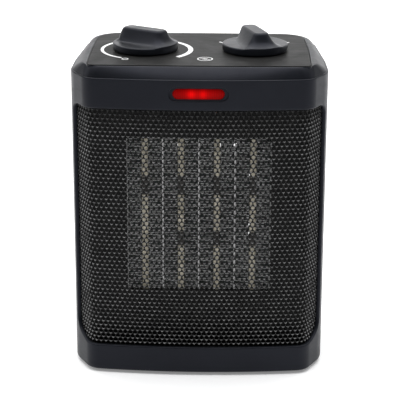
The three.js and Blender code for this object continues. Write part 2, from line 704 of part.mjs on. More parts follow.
function selectorSwitch() {
  const block = box(
    [DIAL_X - SELECTOR_HALF, DIAL_X + SELECTOR_HALF],
    [DIAL_DEPTH - SELECTOR_HALF, DIAL_DEPTH + SELECTOR_HALF],
    CONTROL_Z,
  );
  const tags = [-10, -3.4, 3.4, 10].map((along) =>
    tag(DIAL_X + along, DIAL_DEPTH, [CONTROL_Z[0] - 8, CONTROL_Z[0] + 1]),
  );
  return join(bushed(block, DIAL_X), ...tags);
}

// ---------------------------------------------------------------- heating element
const ELEMENT_LOW = ELEMENT_Z - ELEMENT_HEIGHT / 2;
const ELEMENT_HIGH = ELEMENT_Z + ELEMENT_HEIGHT / 2;
const ELEMENT_HALF = (MODULE_COUNT * MODULE_PITCH + PLATE_THICK) / 2;
const ELEMENT_SPAN = [ELEMENT_FRONT, ELEMENT_FRONT + ELEMENT_DEPTH];
const FIN_WIDTH = (MODULE_PITCH - PLATE_THICK - STRIP_THICK) / 2 - 2 * GAP;
const moduleX = (index) => (index - (MODULE_COUNT - 1) / 2) * MODULE_PITCH;
const plateX = (index) => (index - MODULE_COUNT / 2) * MODULE_PITCH;
const STRIP_ENDS = [ELEMENT_LOW - RAIL_POCKET, ELEMENT_HIGH + RAIL_POCKET];

// The end rail: its outer face is the one away from the fins.
function rail(upwards) {
  const inner = upwards ? ELEMENT_HIGH + GAP : ELEMENT_LOW - GAP;
  const outer = upwards ? ELEMENT_HIGH + RAIL_HEIGHT : ELEMENT_LOW - RAIL_HEIGHT;
  const barZ = [Math.min(inner, outer), Math.max(inner, outer)];
  const bar = box([-ELEMENT_HALF, ELEMENT_HALF], ELEMENT_SPAN, barZ);
  const reach = upwards ? ELEMENT_HIGH + RAIL_POCKET + GAP : ELEMENT_LOW - RAIL_POCKET - GAP;
  const middle = upwards ? ELEMENT_HIGH : ELEMENT_LOW;
  const pocket = (x, thick) =>
    box(
      [x - thick / 2 - GAP, x + thick / 2 + GAP],
      [ELEMENT_FRONT - 1, ELEMENT_FRONT + ELEMENT_DEPTH + 1],
      [Math.min(middle, reach), Math.max(middle, reach)],
    );
  const strips = Array.from({ length: MODULE_COUNT }, (_, i) => pocket(moduleX(i), STRIP_THICK));
  const plates = Array.from({ length: MODULE_COUNT + 1 }, (_, i) => pocket(plateX(i), PLATE_THICK));
  return cut(bar, ...strips, ...plates);
}

// A column of ceramic stones: narrow necks mark the joints between stones.
function stoneStrip(index) {
  const x = moduleX(index);
  const half = STRIP_THICK / 2;
  const [low, high] = STRIP_ENDS;
  const pitch = ELEMENT_HEIGHT / STONES;
  const necks = Array.from({ length: STONES - 1 }, (_, i) => ELEMENT_LOW + (i + 1) * pitch);
  const right = necks.flatMap((z) => [
    [x + half, z - 0.6],
    [x + half - 0.7, z - 0.6],
    [x + half - 0.7, z + 0.6],
    [x + half, z + 0.6],
  ]);
  const left = right.map(([px, z]) => [2 * x - px, z]).reverse();
  const outline = [[x + half, low], ...right, [x + half, high], [x - half, high], ...left, [x - half, low]];
  return plateY(outline, [ELEMENT_FRONT + 1, ELEMENT_FRONT + ELEMENT_DEPTH - 1]);
}

const wallPlate = (index) =>
  box([plateX(index) - PLATE_THICK / 2, plateX(index) + PLATE_THICK / 2], ELEMENT_SPAN, STRIP_ENDS);

// A ribbon folded to and fro between two upright walls, drawn as a line and given its thickness.
function finBlock(index) {
  const side = index % 2 ? 1 : -1;
  const centre = moduleX(Math.floor(index / 2)) + side * (STRIP_THICK / 2 + GAP + FIN_WIDTH / 2);
  const ends = [centre - FIN_WIDTH / 2 + FIN_THICK / 2, centre + FIN_WIDTH / 2 - FIN_THICK / 2];
  const count = Math.floor((ELEMENT_HEIGHT - FIN_THICK) / FIN_PITCH);
  const pitch = (ELEMENT_HEIGHT - FIN_THICK) / count;
  const line = Array.from({ length: count + 1 }, (_, i) => {
    const z = ELEMENT_LOW + FIN_THICK / 2 + i * pitch;
    const [near, far] = i % 2 ? [ends[1], ends[0]] : ends;
    return [
      [near, z],
      [far, z],
    ];
  }).flat();
  const half = FIN_THICK / 2;
  const edge = (sign) =>
    line.map(([x, z], i) => {
      const [px, pz] = line[Math.max(i - 1, 0)];
      const [nx, nz] = line[Math.min(i + 1, line.length - 1)];
      const across = Math.sign(x - px) + Math.sign(nx - x);
      const up = Math.sign(z - pz) + Math.sign(nz - z);
      return [x - sign * half * Math.sign(up), z + sign * half * Math.sign(across)];
    });
  return plateY([...edge(-1), ...edge(1).reverse()], ELEMENT_SPAN);
}

// ---------------------------------------------------------------- air duct
const RING_INNER = FAN_RADIUS + FAN_TIP_GAP;
const RING_OUTER = RING_INNER + DUCT_WALL;
const COLLAR_HALF = ELEMENT_HALF + 0.4;
const COLLAR_Z = [ELEMENT_LOW - RAIL_HEIGHT - 0.4, ELEMENT_HIGH + RAIL_HEIGHT + 0.4];
const EAR_X = RING_OUTER + 5.5;
const EAR_HALF = 6; // ears that carry the motor
const EAR_DEEP = 8;
const STOP = [2, 4]; // ledges behind the element: depth and height

function airDuct() {
  const [low, high] = COLLAR_Z;
  const flangeEnd = FLANGE_DEPTH + FLANGE_THICK;
  const flangeHalf = HALF - FLANGE_INSET;
  const flange = box([-flangeHalf, flangeHalf], [FLANGE_DEPTH, flangeEnd], [FLANGE_BOTTOM, FLANGE_TOP]);
  const collar = box(
    [-COLLAR_HALF - DUCT_WALL, COLLAR_HALF + DUCT_WALL],
    [FLANGE_DEPTH, PLENUM_BACK + DUCT_WALL],
    [low - DUCT_WALL, high + DUCT_WALL],
  );
  const ring = rodY(RING_OUTER, [PLENUM_BACK, RING_BACK], 0, ELEMENT_Z, 40);
  const ears = [-1, 1].map((side) =>
    box(
      [side * EAR_X - EAR_HALF, side * EAR_X + EAR_HALF],
      [RING_BACK - EAR_DEEP, RING_BACK],
      [ELEMENT_Z - EAR_HALF, ELEMENT_Z + EAR_HALF],
    ),
  );
  const plenum = box([-COLLAR_HALF, COLLAR_HALF], [flangeEnd, PLENUM_BACK], [low, high]);
  const bore = rodY(RING_INNER, [PLENUM_BACK - 1, RING_BACK + 1], 0, ELEMENT_Z, 40);
  const mouth = box(
    [-ELEMENT_HALF + 0.6, ELEMENT_HALF - 0.6],
    [FLANGE_DEPTH - 1, flangeEnd + 1],
    [ELEMENT_LOW - 0.2, ELEMENT_HIGH + 0.2],
  );
  const behind = ELEMENT_FRONT + ELEMENT_DEPTH + GAP;
  const [stopDeep, stopHigh] = STOP;
  const stops = [low, high - stopHigh].map((z) =>
    box([-COLLAR_HALF, COLLAR_HALF], [behind, behind + stopDeep], [z, z + stopHigh]),
  );
  const screwHoles = [-1, 1].flatMap((side) => [
    rodY(SCREW_RADIUS + GAP, [FLANGE_DEPTH - 1, flangeEnd + 1], side * DUCT_SCREW_X, DUCT_SCREW_Z, 12),
    rodY(SCREW_RADIUS + GAP, [RING_BACK - EAR_DEEP + 1, RING_BACK + 1], side * EAR_X, ELEMENT_Z, 12),
  ]);
  return join(cut(join(flange, collar, ring, ...ears), plenum, bore, mouth, ...screwHoles), ...stops);
}

// ---------------------------------------------------------------- fan and motor
const STACK_BACK = STACK_FRONT + STACK_THICK;
const BRACKET = [RING_BACK + GAP, RING_BACK + GAP + BRACKET_THICK];
const IMPELLER = [PLENUM_BACK + 5, RING_BACK - 3];

// One fan blade, rising from the hub: a thin curved section, more steeply set at the hub than at the tip.
function fanBlade(number) {
  const middle = (IMPELLER[0] + IMPELLER[1]) / 2;
  const thick = 0.8;
  const section = (radius, chord, degrees) => {
    const angle = THREE.MathUtils.degToRad(degrees);
    const camber = chord * 0.08;
    const spine = [-0.5, 0, 0.5].map((share) => [share * chord, camber * (1 - 4 * share * share)]);
    const upper = spine.map(([u, v]) => [u, v + thick]);
    const outline = [...spine, ...upper.reverse()];
    return {
      points: outline.map(([u, v]) => [
        u * Math.cos(angle) - v * Math.sin(angle),
        u * Math.sin(angle) + v * Math.cos(angle),
      ]),
      z: radius,
    };
  };
  // Radius, chord and setting angle of each section.
  const blade = loft([
    section(HUB_RADIUS - 1, 19, 52),
    section(HUB_RADIUS + 12, 25, 36),
    section(HUB_RADIUS + 26, 30, 27),
    section(FAN_RADIUS, 33, 22),
  ]);
  return blade.rotate([0, (number * 360) / BLADES, 0]).translate([0, atDepth(middle), ELEMENT_Z]);
}

function impeller() {
  const hub = rodY(HUB_RADIUS, IMPELLER, 0, ELEMENT_Z, 24);
  const blades = Array.from({ length: BLADES }, (_, i) => fanBlade(i));
  const round = rodY(FAN_RADIUS, IMPELLER, 0, ELEMENT_Z, 48);
  const bore = rodY(SHAFT_RADIUS + GAP, [IMPELLER[0] + 3, IMPELLER[1] + 1], 0, ELEMENT_Z, 16);
  return cut(join(hub, ...blades).intersect(round), bore);
}

const fanShaft = () => rodY(SHAFT_RADIUS, [IMPELLER[0] + 3 + GAP, STACK_BACK + 8], 0, ELEMENT_Z, 16);
const shaftHole = ([d0, d1]) => rodY(SHAFT_RADIUS + GAP, [d0 - 1, d1 + 1], 0, ELEMENT_Z, 16);

function motorRotor() {
  const span = [STACK_FRONT + 0.5, STACK_BACK - 0.5];
  return cut(rodY(ROTOR_RADIUS, span, 0, ELEMENT_Z, 24), shaftHole(span));
}

function motorStator() {
  const span = [STACK_FRONT, STACK_BACK];
  const stack = box([-STACK_HALF, STACK_HALF], span, [ELEMENT_Z + LIMB[0], ELEMENT_Z + STACK_TOP]);
  const through = [STACK_FRONT - 1, STACK_BACK + 1];
  const bore = rodY(ROTOR_RADIUS + AIR_GAP, through, 0, ELEMENT_Z, 28);
  const [windowHalf, windowTop] = STACK_WINDOW;
  const window = box([-windowHalf, windowHalf], through, [ELEMENT_Z + LIMB[1], ELEMENT_Z + windowTop]);
  return cut(stack, bore, window);
}

function motorCoil() {
  const [low, high] = LIMB.map((z) => ELEMENT_Z + z);
  const winding = box([-COIL_HALF, COIL_HALF], [STACK_FRONT - 5, STACK_BACK + 5], [low - 8, high + 9]);
  const limb = box(
    [-COIL_HALF - 1, COIL_HALF + 1],
    [STACK_FRONT - COIL_GAP, STACK_BACK + COIL_GAP],
    [low - COIL_GAP, high + COIL_GAP],
  );
  return cut(winding, limb);
}

function motorFrontBracket() {
  const plate = box([-EAR_X - 5, EAR_X + 5], BRACKET, [ELEMENT_Z - 8, ELEMENT_Z + 8]);
  const boss = rodY(MOTOR_BOSS_RADIUS, [BRACKET[0], STACK_FRONT - 1], 0, ELEMENT_Z, 20);
  const standoffs = [-STANDOFF_X, STANDOFF_X].map((x) =>
    rodY(STANDOFF_RADIUS, [BRACKET[0], STACK_FRONT - GAP], x, ELEMENT_Z, 12),
  );
  const through = [BRACKET[0] - 5, BRACKET[1] + 5];
  const holes = [-EAR_X, EAR_X].map((x) => rodY(SCREW_RADIUS + GAP, through, x, ELEMENT_Z, 12));
  return cut(join(plate, boss, ...standoffs), shaftHole([BRACKET[0], STACK_FRONT]), ...holes);
}

function motorRearBracket() {
  const span = [STACK_BACK + GAP, STACK_BACK + GAP + BRACKET_THICK];
  const halfHeight = MOTOR_BOSS_RADIUS;
  const plate = box([-REAR_BRACKET_HALF, REAR_BRACKET_HALF], span, [
    ELEMENT_Z - halfHeight,
    ELEMENT_Z + halfHeight,
  ]);
  const bossSpan = [span[0], STACK_BACK + 7];
  const boss = rodY(MOTOR_BOSS_RADIUS, bossSpan, 0, ELEMENT_Z, 20);
  return cut(join(plate, boss), shaftHole(bossSpan));
}

// ---------------------------------------------------------------- electrical parts
const DUCT_TOP = COLLAR_Z[1] + DUCT_WALL + GAP;
const GUARD_DEPTH = 50; // of the cutout and the fuse, which sit on the duct
const CUTOUT_X = 22;
const CUTOUT_CUP = [8, 4]; // radius and height
const CUTOUT_BASE = [6.6, 6];
const FUSE_X = -18;
const FUSE = [2, 12]; // radius and length
const FUSE_LEAD = [0.6, 34];
const TERMINAL_XS = [-44, -32, -20];
const TERMINAL_DEPTH = 103;
const TERMINAL_HALF = [6, 7]; // half the space for one terminal along X, and half the block's depth

function thermalCutout() {
  const [cupRadius, cupHeight] = CUTOUT_CUP;
  const [baseRadius, baseHeight] = CUTOUT_BASE;
  const cupTop = DUCT_TOP + cupHeight;
  const baseTop = cupTop + baseHeight;
  const cup = rodZ(cupRadius, [DUCT_TOP, cupTop], CUTOUT_X, GUARD_DEPTH, 24);
  const base = rodZ(baseRadius, [cupTop, baseTop], CUTOUT_X, GUARD_DEPTH, 20);
  const tags = [-4, 4].map((x) => tag(CUTOUT_X + x, GUARD_DEPTH, [baseTop - 1, baseTop + 5]));
  return join(cup, base, ...tags);
}

function thermalFuse() {
  const rods = [FUSE, FUSE_LEAD].map(([radius, length]) => {
    const geometry = new THREE.CylinderGeometry(radius, radius, length, 16);
    geometry.rotateZ(Math.PI / 2);
    geometry.translate(FUSE_X, atDepth(GUARD_DEPTH), DUCT_TOP + FUSE[0]);
    return solid(geometry);
  });
  return join(...rods);
}

function terminalBlock() {
  const [reach, deep] = TERMINAL_HALF;
  const span = [TERMINAL_DEPTH - deep, TERMINAL_DEPTH + deep];
  const block = box(
    [TERMINAL_XS[0] - reach, TERMINAL_XS.at(-1) + reach],
    span,
    [FLOOR_TOP + GAP, FLOOR_TOP + 13],
  );
  const wells = TERMINAL_XS.flatMap((x) => [
    rodZ(2.4, [FLOOR_TOP + 5, FLOOR_TOP + 14], x, TERMINAL_DEPTH, 12),
    rodY(1.8, [span[0] - 1, span[1] + 1], x, FLOOR_TOP + 5, 12),
  ]);
  return cut(block, ...wells);
}

const PLUNGER_RADIUS = 3;
const PLUNGER_TIP = 0.4; // height of the tip while the heater stands
const PLUNGER_FLANGE = 1.5; // its thickness
const SWITCH_HALF = 8;
const SWITCH_SPAN = [FLOOR_TOP + GAP, FLOOR_TOP + 22];
const FLANGE_OF_PLUNGER = FLOOR_TOP + GAP + TIP_TRAVEL + 0.8;

function tipSwitchBody() {
  const block = box(
    [TIP_X - SWITCH_HALF, TIP_X + SWITCH_HALF],
    [TIP_DEPTH - SWITCH_HALF, TIP_DEPTH + SWITCH_HALF],
    SWITCH_SPAN,
  );
  const well = rodZ(PLUNGER_RADIUS + 2.5, [SWITCH_SPAN[0] + 0.8, SWITCH_SPAN[1] - 2], TIP_X, TIP_DEPTH, 20);
  const mouth = rodZ(PLUNGER_RADIUS + GAP, [SWITCH_SPAN[0] - 1, SWITCH_SPAN[0] + 2], TIP_X, TIP_DEPTH, 16);
  return cut(block, well, mouth);
}

function tipPlunger() {
  const flangeTop = FLANGE_OF_PLUNGER + PLUNGER_FLANGE;
  const pin = rodZ(PLUNGER_RADIUS, [PLUNGER_TIP, flangeTop], TIP_X, TIP_DEPTH, 16);
  const flange = rodZ(PLUNGER_RADIUS + 2, [FLANGE_OF_PLUNGER, flangeTop], TIP_X, TIP_DEPTH, 16);
  return join(pin, flange);
}

function tipSpring() {
  const wireRadius = 0.4;
  const coilRadius = 3.4;
  const low = FLANGE_OF_PLUNGER + PLUNGER_FLANGE + GAP + wireRadius;
  const high = SWITCH_SPAN[1] - 2 - GAP - wireRadius;
  const turns = 5;
  const steps = 10;
  const path = new THREE.CatmullRomCurve3(
    Array.from({ length: turns * steps + 1 }, (_, i) => {
      const angle = (2 * Math.PI * i) / steps;
      const z = low + ((high - low) * i) / (turns * steps);
      const [x, y] = [coilRadius * Math.cos(angle), coilRadius * Math.sin(angle)];
      return new THREE.Vector3(TIP_X + x, atDepth(TIP_DEPTH) + y, z);
    }),
  );
  // Six corners round the wire.
  const corners = quarter(0, 0, wireRadius, wireRadius, 0, 300, 5);
  const wire = new THREE.Shape(corners.map(([x, y]) => new THREE.Vector2(x, y)));
  const settings = { steps: turns * steps, bevelEnabled: false, extrudePath: path };
  return solid(new THREE.ExtrudeGeometry(wire, settings));
}

// ---------------------------------------------------------------- assembly
const heater = new THREE.Group();
const add = (name, material, shape) => heater.add(named(name, material, shape));

add("front_casing", CASING, frontCasing());
add("rear_casing", CASING, rearCasing());
add("control_panel", PANEL, controlPanel());
add("front_grille", MESH_STEEL, frontGrille());
add("lamp_lens", LENS_RED, lampLens());
add("lamp_holder", WHITE_PLASTIC, lampHolder());
add("neon_lamp", GLASS, neonLamp());

const dials = [
  { name: "thermostat", x: -DIAL_X, turn: THERMOSTAT_TURN, body: thermostatBody() },
  { name: "selector", x: DIAL_X, turn: SELECTOR_TURN, body: selectorSwitch() },
];
for (const { name, x, turn, body } of dials) {
  const place = new THREE.Group();
  place.position.set(x, atDepth(DIAL_DEPTH), 0);
  place.add(named(`${name}_knob`, KNOB, knob(turn)));
  heater.add(place);
  add(`${name}_spindle`, STEEL, spindle(x));
  add(`${name}_nut`, BRASS, nut(x));
  add(`${name}_body`, WHITE_PLASTIC, body);
}

add("ptc_top_rail", DUCT_BLACK, rail(true));
add("ptc_bottom_rail", DUCT_BLACK, rail(false));
for (let i = 0; i < MODULE_COUNT; i++) add(`ptc_stone_strip_${i + 1}`, CERAMIC, stoneStrip(i));
for (let i = 0; i <= MODULE_COUNT; i++) add(`ptc_wall_plate_${i + 1}`, ALUMINIUM, wallPlate(i));
for (let i = 0; i < 2 * MODULE_COUNT; i++) add(`ptc_fin_block_${i + 1}`, ALUMINIUM, finBlock(i));

add("air_duct", DUCT_BLACK, airDuct());
add("fan_impeller", DUCT_BLACK, impeller());
add("fan_shaft", STEEL, fanShaft());
add("motor_rotor", ALUMINIUM, motorRotor());
add("motor_stator", STEEL, motorStator());
add("motor_coil", COPPER, motorCoil());
add("motor_front_bracket", STEEL, motorFrontBracket());
add("motor_rear_bracket", STEEL, motorRearBracket());

add("thermal_cutout", STEEL, thermalCutout());
add("thermal_fuse", BRASS, thermalFuse());
add("terminal_block", WHITE_PLASTIC, terminalBlock());
add("tip_switch_body", WHITE_PLASTIC, tipSwitchBody());
add("tip_plunger", WHITE_PLASTIC, tipPlunger());
add("tip_spring", STEEL, tipSpring());

let count = 0;
for (const x of [-FOOT_X, FOOT_X]) {
  for (const depth of FOOT_DEPTHS) add(`foot_${++count}`, RUBBER, foot(x, depth));
}
count = 0;
for (const x of [-SCREW_X, SCREW_X]) {
  for (const z of SCREW_ZS) {
    add(`casing_screw_${++count}`, STEEL, screw(x, z, SCREW_SEAT_DEPTH, CASING_SCREW));
  }
}
count = 0;
for (const side of [-1, 1]) {
  count += 1;
  const flangeBack = FLANGE_DEPTH + FLANGE_THICK;
  add(`duct_screw_${count}`, STEEL, screw(side * DUCT_SCREW_X, DUCT_SCREW_Z, flangeBack, DUCT_SCREW));
  add(`motor_screw_${count}`, STEEL, screw(side * EAR_X, ELEMENT_Z, BRACKET[1], MOTOR_SCREW));
}

export default heater;
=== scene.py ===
"""The looks of an upright ceramic fan heater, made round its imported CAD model.

Sizes are in millimetres unless a name says otherwise, and each mesh is turned to metres as it is made.
+Z is up, the grille faces -Y, and "depth" is the distance behind the casing's foremost line.
"""

import math
from functools import partialmethod

import bmesh
import bpy
import numpy as np
from mathutils import Matrix, Vector, geometry


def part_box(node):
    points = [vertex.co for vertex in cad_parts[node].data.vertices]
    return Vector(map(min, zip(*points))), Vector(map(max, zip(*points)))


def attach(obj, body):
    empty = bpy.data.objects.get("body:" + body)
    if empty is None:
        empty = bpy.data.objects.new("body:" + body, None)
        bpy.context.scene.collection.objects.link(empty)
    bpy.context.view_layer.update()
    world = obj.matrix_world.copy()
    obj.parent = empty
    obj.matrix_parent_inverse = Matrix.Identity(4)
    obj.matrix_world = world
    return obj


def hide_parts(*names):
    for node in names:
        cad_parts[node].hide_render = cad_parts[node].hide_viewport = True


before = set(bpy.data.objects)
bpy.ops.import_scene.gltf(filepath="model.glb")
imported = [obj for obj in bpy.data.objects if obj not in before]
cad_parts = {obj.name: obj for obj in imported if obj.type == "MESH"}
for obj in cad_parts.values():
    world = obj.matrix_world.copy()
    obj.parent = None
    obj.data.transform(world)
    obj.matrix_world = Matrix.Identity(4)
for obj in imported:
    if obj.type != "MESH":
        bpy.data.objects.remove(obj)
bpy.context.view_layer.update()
MM = 0.001
DOUBLES = 1e-6  # places closer than this are one
QUARTER_TURN = math.pi / 2

# ---- sizes of the heater
DEPTH = 130.0
TOP_Z = 227.5
CREASE_Z = 219.5
BOTTOM_Z = 2.0
FOOT_ROUND = 2.0  # rounding along the casing's lower edge
FLOOR_ROUND = 1.5  # rounding of the same edge on the inside
WALL = 2.5
WALL_ROWS = 54
WALL_SPACING, BEND_SPACING = 3.2, 1.0  # of the points along straight and bent walls
BEND_TURN = 0.03  # a wall whose normal turns more than this in 1 mm is bent, in radians
SPLIT_DEPTH = 84.0
SPLIT_GAP = 0.3
BOW_RADIUS = 560.0
BEND_X = 78.0
SEAM = 0.4  # gap round the control panel
SEAM_EDGE = 0.2  # easing of the casing's edge at that gap
CREASE_ROUND = 0.8  # rounding where the upright walls meet the shoulder
CREASE_LEDGE = 0.35
SHOULDER_BULGE = 0.45
SHOULDER_SHARES = (0.08, 0.2, 0.35, 0.5, 0.65, 0.78)  # rings between the crease and the brow
BROW_SHARE = 0.86  # where the brow's rounding starts
BROW_REACH = 0.45  # share of the flat rim that the rounding takes
RIM_DROP = 0.45  # how far the casing's rim lies below the panel
PANEL_THICK = 2.5
PANEL_EDGE = 0.25  # rounding along the panel's edge
PANEL_EDGE_TURNS = (22.5, 45, 67.5, 90)
PANEL_SPACING = 0.9  # of the points along its outline
PANEL_GRID = np.arange(-75, 76, 5.0), np.arange(-54, 48, 5.0)
LEDGE = 2.2  # width of the shelf that carries the panel
LEDGE_DROP = 5.0  # depth of that shelf's underside below the top

GRILLE_BOTTOM, GRILLE_TOP, GRILLE_SIDE_DEPTH = 21.7, 197.9, 24.5
GRILLE_LOW_CORNER = (19.0, 16.0)  # how far the corner reaches in depth and in height
GRILLE_HIGH_CORNER = (8.0, 7.0)
GRILLE_EDGE = 1.2  # rounding along the grille opening
GRILLE_SPACING = 1.2  # of the points along its outline
GRILLE_MIDDLE_Z = 109.8
HOLE_PITCH, HOLE_WIDTH, HOLE_DISH = 3.56, 2.86, 0.36
HOLE_SIDES = 10
GRILLE_END_DEPTH, GRILLE_LINE_POINTS = 28.0, 500
HOLE_COLUMNS, HOLE_ROWS = 57, 58
GRILLE_THICK = 0.8

SLOT_COUNT, SLOT_PITCH, SLOT_LOW_Z, SLOT_X = 15, 8.0, 40.0, 27.0
SLOT_SIZE, SLOT_CORNER, SLOT_EDGE = (46.0, 3.6), 1.2, 0.6
SOCKET_X, SOCKET_HEIGHTS = 70.5, (17.0, 196.0)
SOCKET_RADIUS, SOCKET_BORE_LESS, SOCKET_WALL, SOCKET_EDGE, SOCKET_SEAT = 3.8, 2.0, 2.7, 0.5, 100.0
RECESS_SIZE, RECESS_CORNER, RECESS_Z, RECESS_DEEP, RECESS_EDGE = (89.0, 25.0), 7.0, 199.0, 17.0, 1.8
RECESS_MOUTH = 8.0  # how far in from the back the pocket's straight walls start
INLET_RADIUS, INLET_PLACE, INLET_EDGE, INLET_WALL, INLET_DEEP = 6.0, (-52.0, 22.0), 1.0, 2.5, 12.0

DIAL_X = 39.0
DIAL_DEPTH = 58.0
DIAL_TURNS = {"thermostat": -30.0, "selector": -72.0}
DIAL_RADIUS, DIAL_LIFT, SKIRT_HEIGHT, DIAL_HEIGHT = 23.25, 0.9, 4.6, 15.5
DIAL_POINTS = 192  # points round each ring of a dial
BLADE_EASE, SKIRT_EASE, SKIRT_FOOT = 1.5, 1.0, (0.4, 0.5)
BLADE_LEVELS = (
    *(8.2, 7.2, 6.2, 5.2, 4.4, 3.7, 3.1, 2.6, 2.1, 1.7),
    *(1.35, 1.05, 0.8, 0.55, 0.35, 0.18, 0.07, 0.0),
)
DIAL_WALL, DIAL_ROOF, DIAL_BORE, DIAL_BORE_TOP = 2.5, 1.6, 3.3, 5.0
BUSH_HOLE = 4.8
# The blade's reach or width at its top, its flare, the flare's power, and its fillet's reach and height.
BLADE_REAR = (16.4, 4.6, 0.7, 1.8, 0.6)
BLADE_FRONT = (16.0, 3.0, 1.0, 6.0, 1.6)
BLADE_WIDTH = (10.8, 10.0, 1.15, 4.5, 0.7)
BLADE_FAN, BLADE_FAN_POWER = 0.30, 1.2
BLADE_END, BLADE_CORNER = 0.42, 0.6  # share of the turn that the ends take, and how square they are

INK_THICK, INK_LIFT = 0.05, 0.01
SCALE_SWEEP = (-121, -404)
SCALE_INNER, SCALE_OUTER = (29.5, 30.8), (31.3, 34.5)
OFF_MARK = (-51.8, 28.2)  # distance across and depth
RING_SYMBOL = (3.9, 30.0)
RING_WIDTH = 0.8
SYMBOL_STROKES = ((0, 0, 8.6, -38), (-0.4, 1.6, 4.6, 0), (0.4, -1.6, 4.6, 0))  # place, length and tilt
STROKE_WIDTH = 0.7
SELECTOR_MARKS = ((135, 1), (90, 2), (50, 3))  # direction in degrees, and how many bars
BAR_REACH, BAR_GAP, BAR_HALF = (32.6, 36.0), 4.2, 1.1

LAMP_Z = 209.6
BEZEL, BEZEL_EDGE, BEZEL_DEEP = (41.0, 9.6), 0.5, 1.1
WINDOW = (36.1, 7.6)
LENS_SIZE, LENS_FLANGE, FLANGE_BACK, FLANGE_FRONT = (35.5, 7.0), (40.5, 10.0), 4.3, 3.3
LENS_DOME = ((0.0, 0.95), (0.12, 0.75), (0.4, 0.6), (0.9, 0.48), (1.6, 0.38), (2.4, 0.33), (3.0, 0.31))

ELEMENT_Z = 114.0
FIN_FOLDS, FIN_METRES = 58, 0.00022
FIN_SIDE_GAP, FIN_END_GAP = 0.0002, 0.001  # in metres
# Painted shade: dark bands across the stones where the gaps between them lie.
GAP_SHADE_BANDS = ((135.3, 7.0), (95.5, 5.5))  # middle height and half height
GAP_SHADE_FADE = 0.5
LEFT_COLUMN = (-0.027, -0.025)  # metres across, between which the left column ends


def at_depth(depth):
    return depth - DEPTH / 2


# ---- plan outlines
FRONT_BEND, SPLIT_MARK = 1, 7  # which of an outline's marks are which


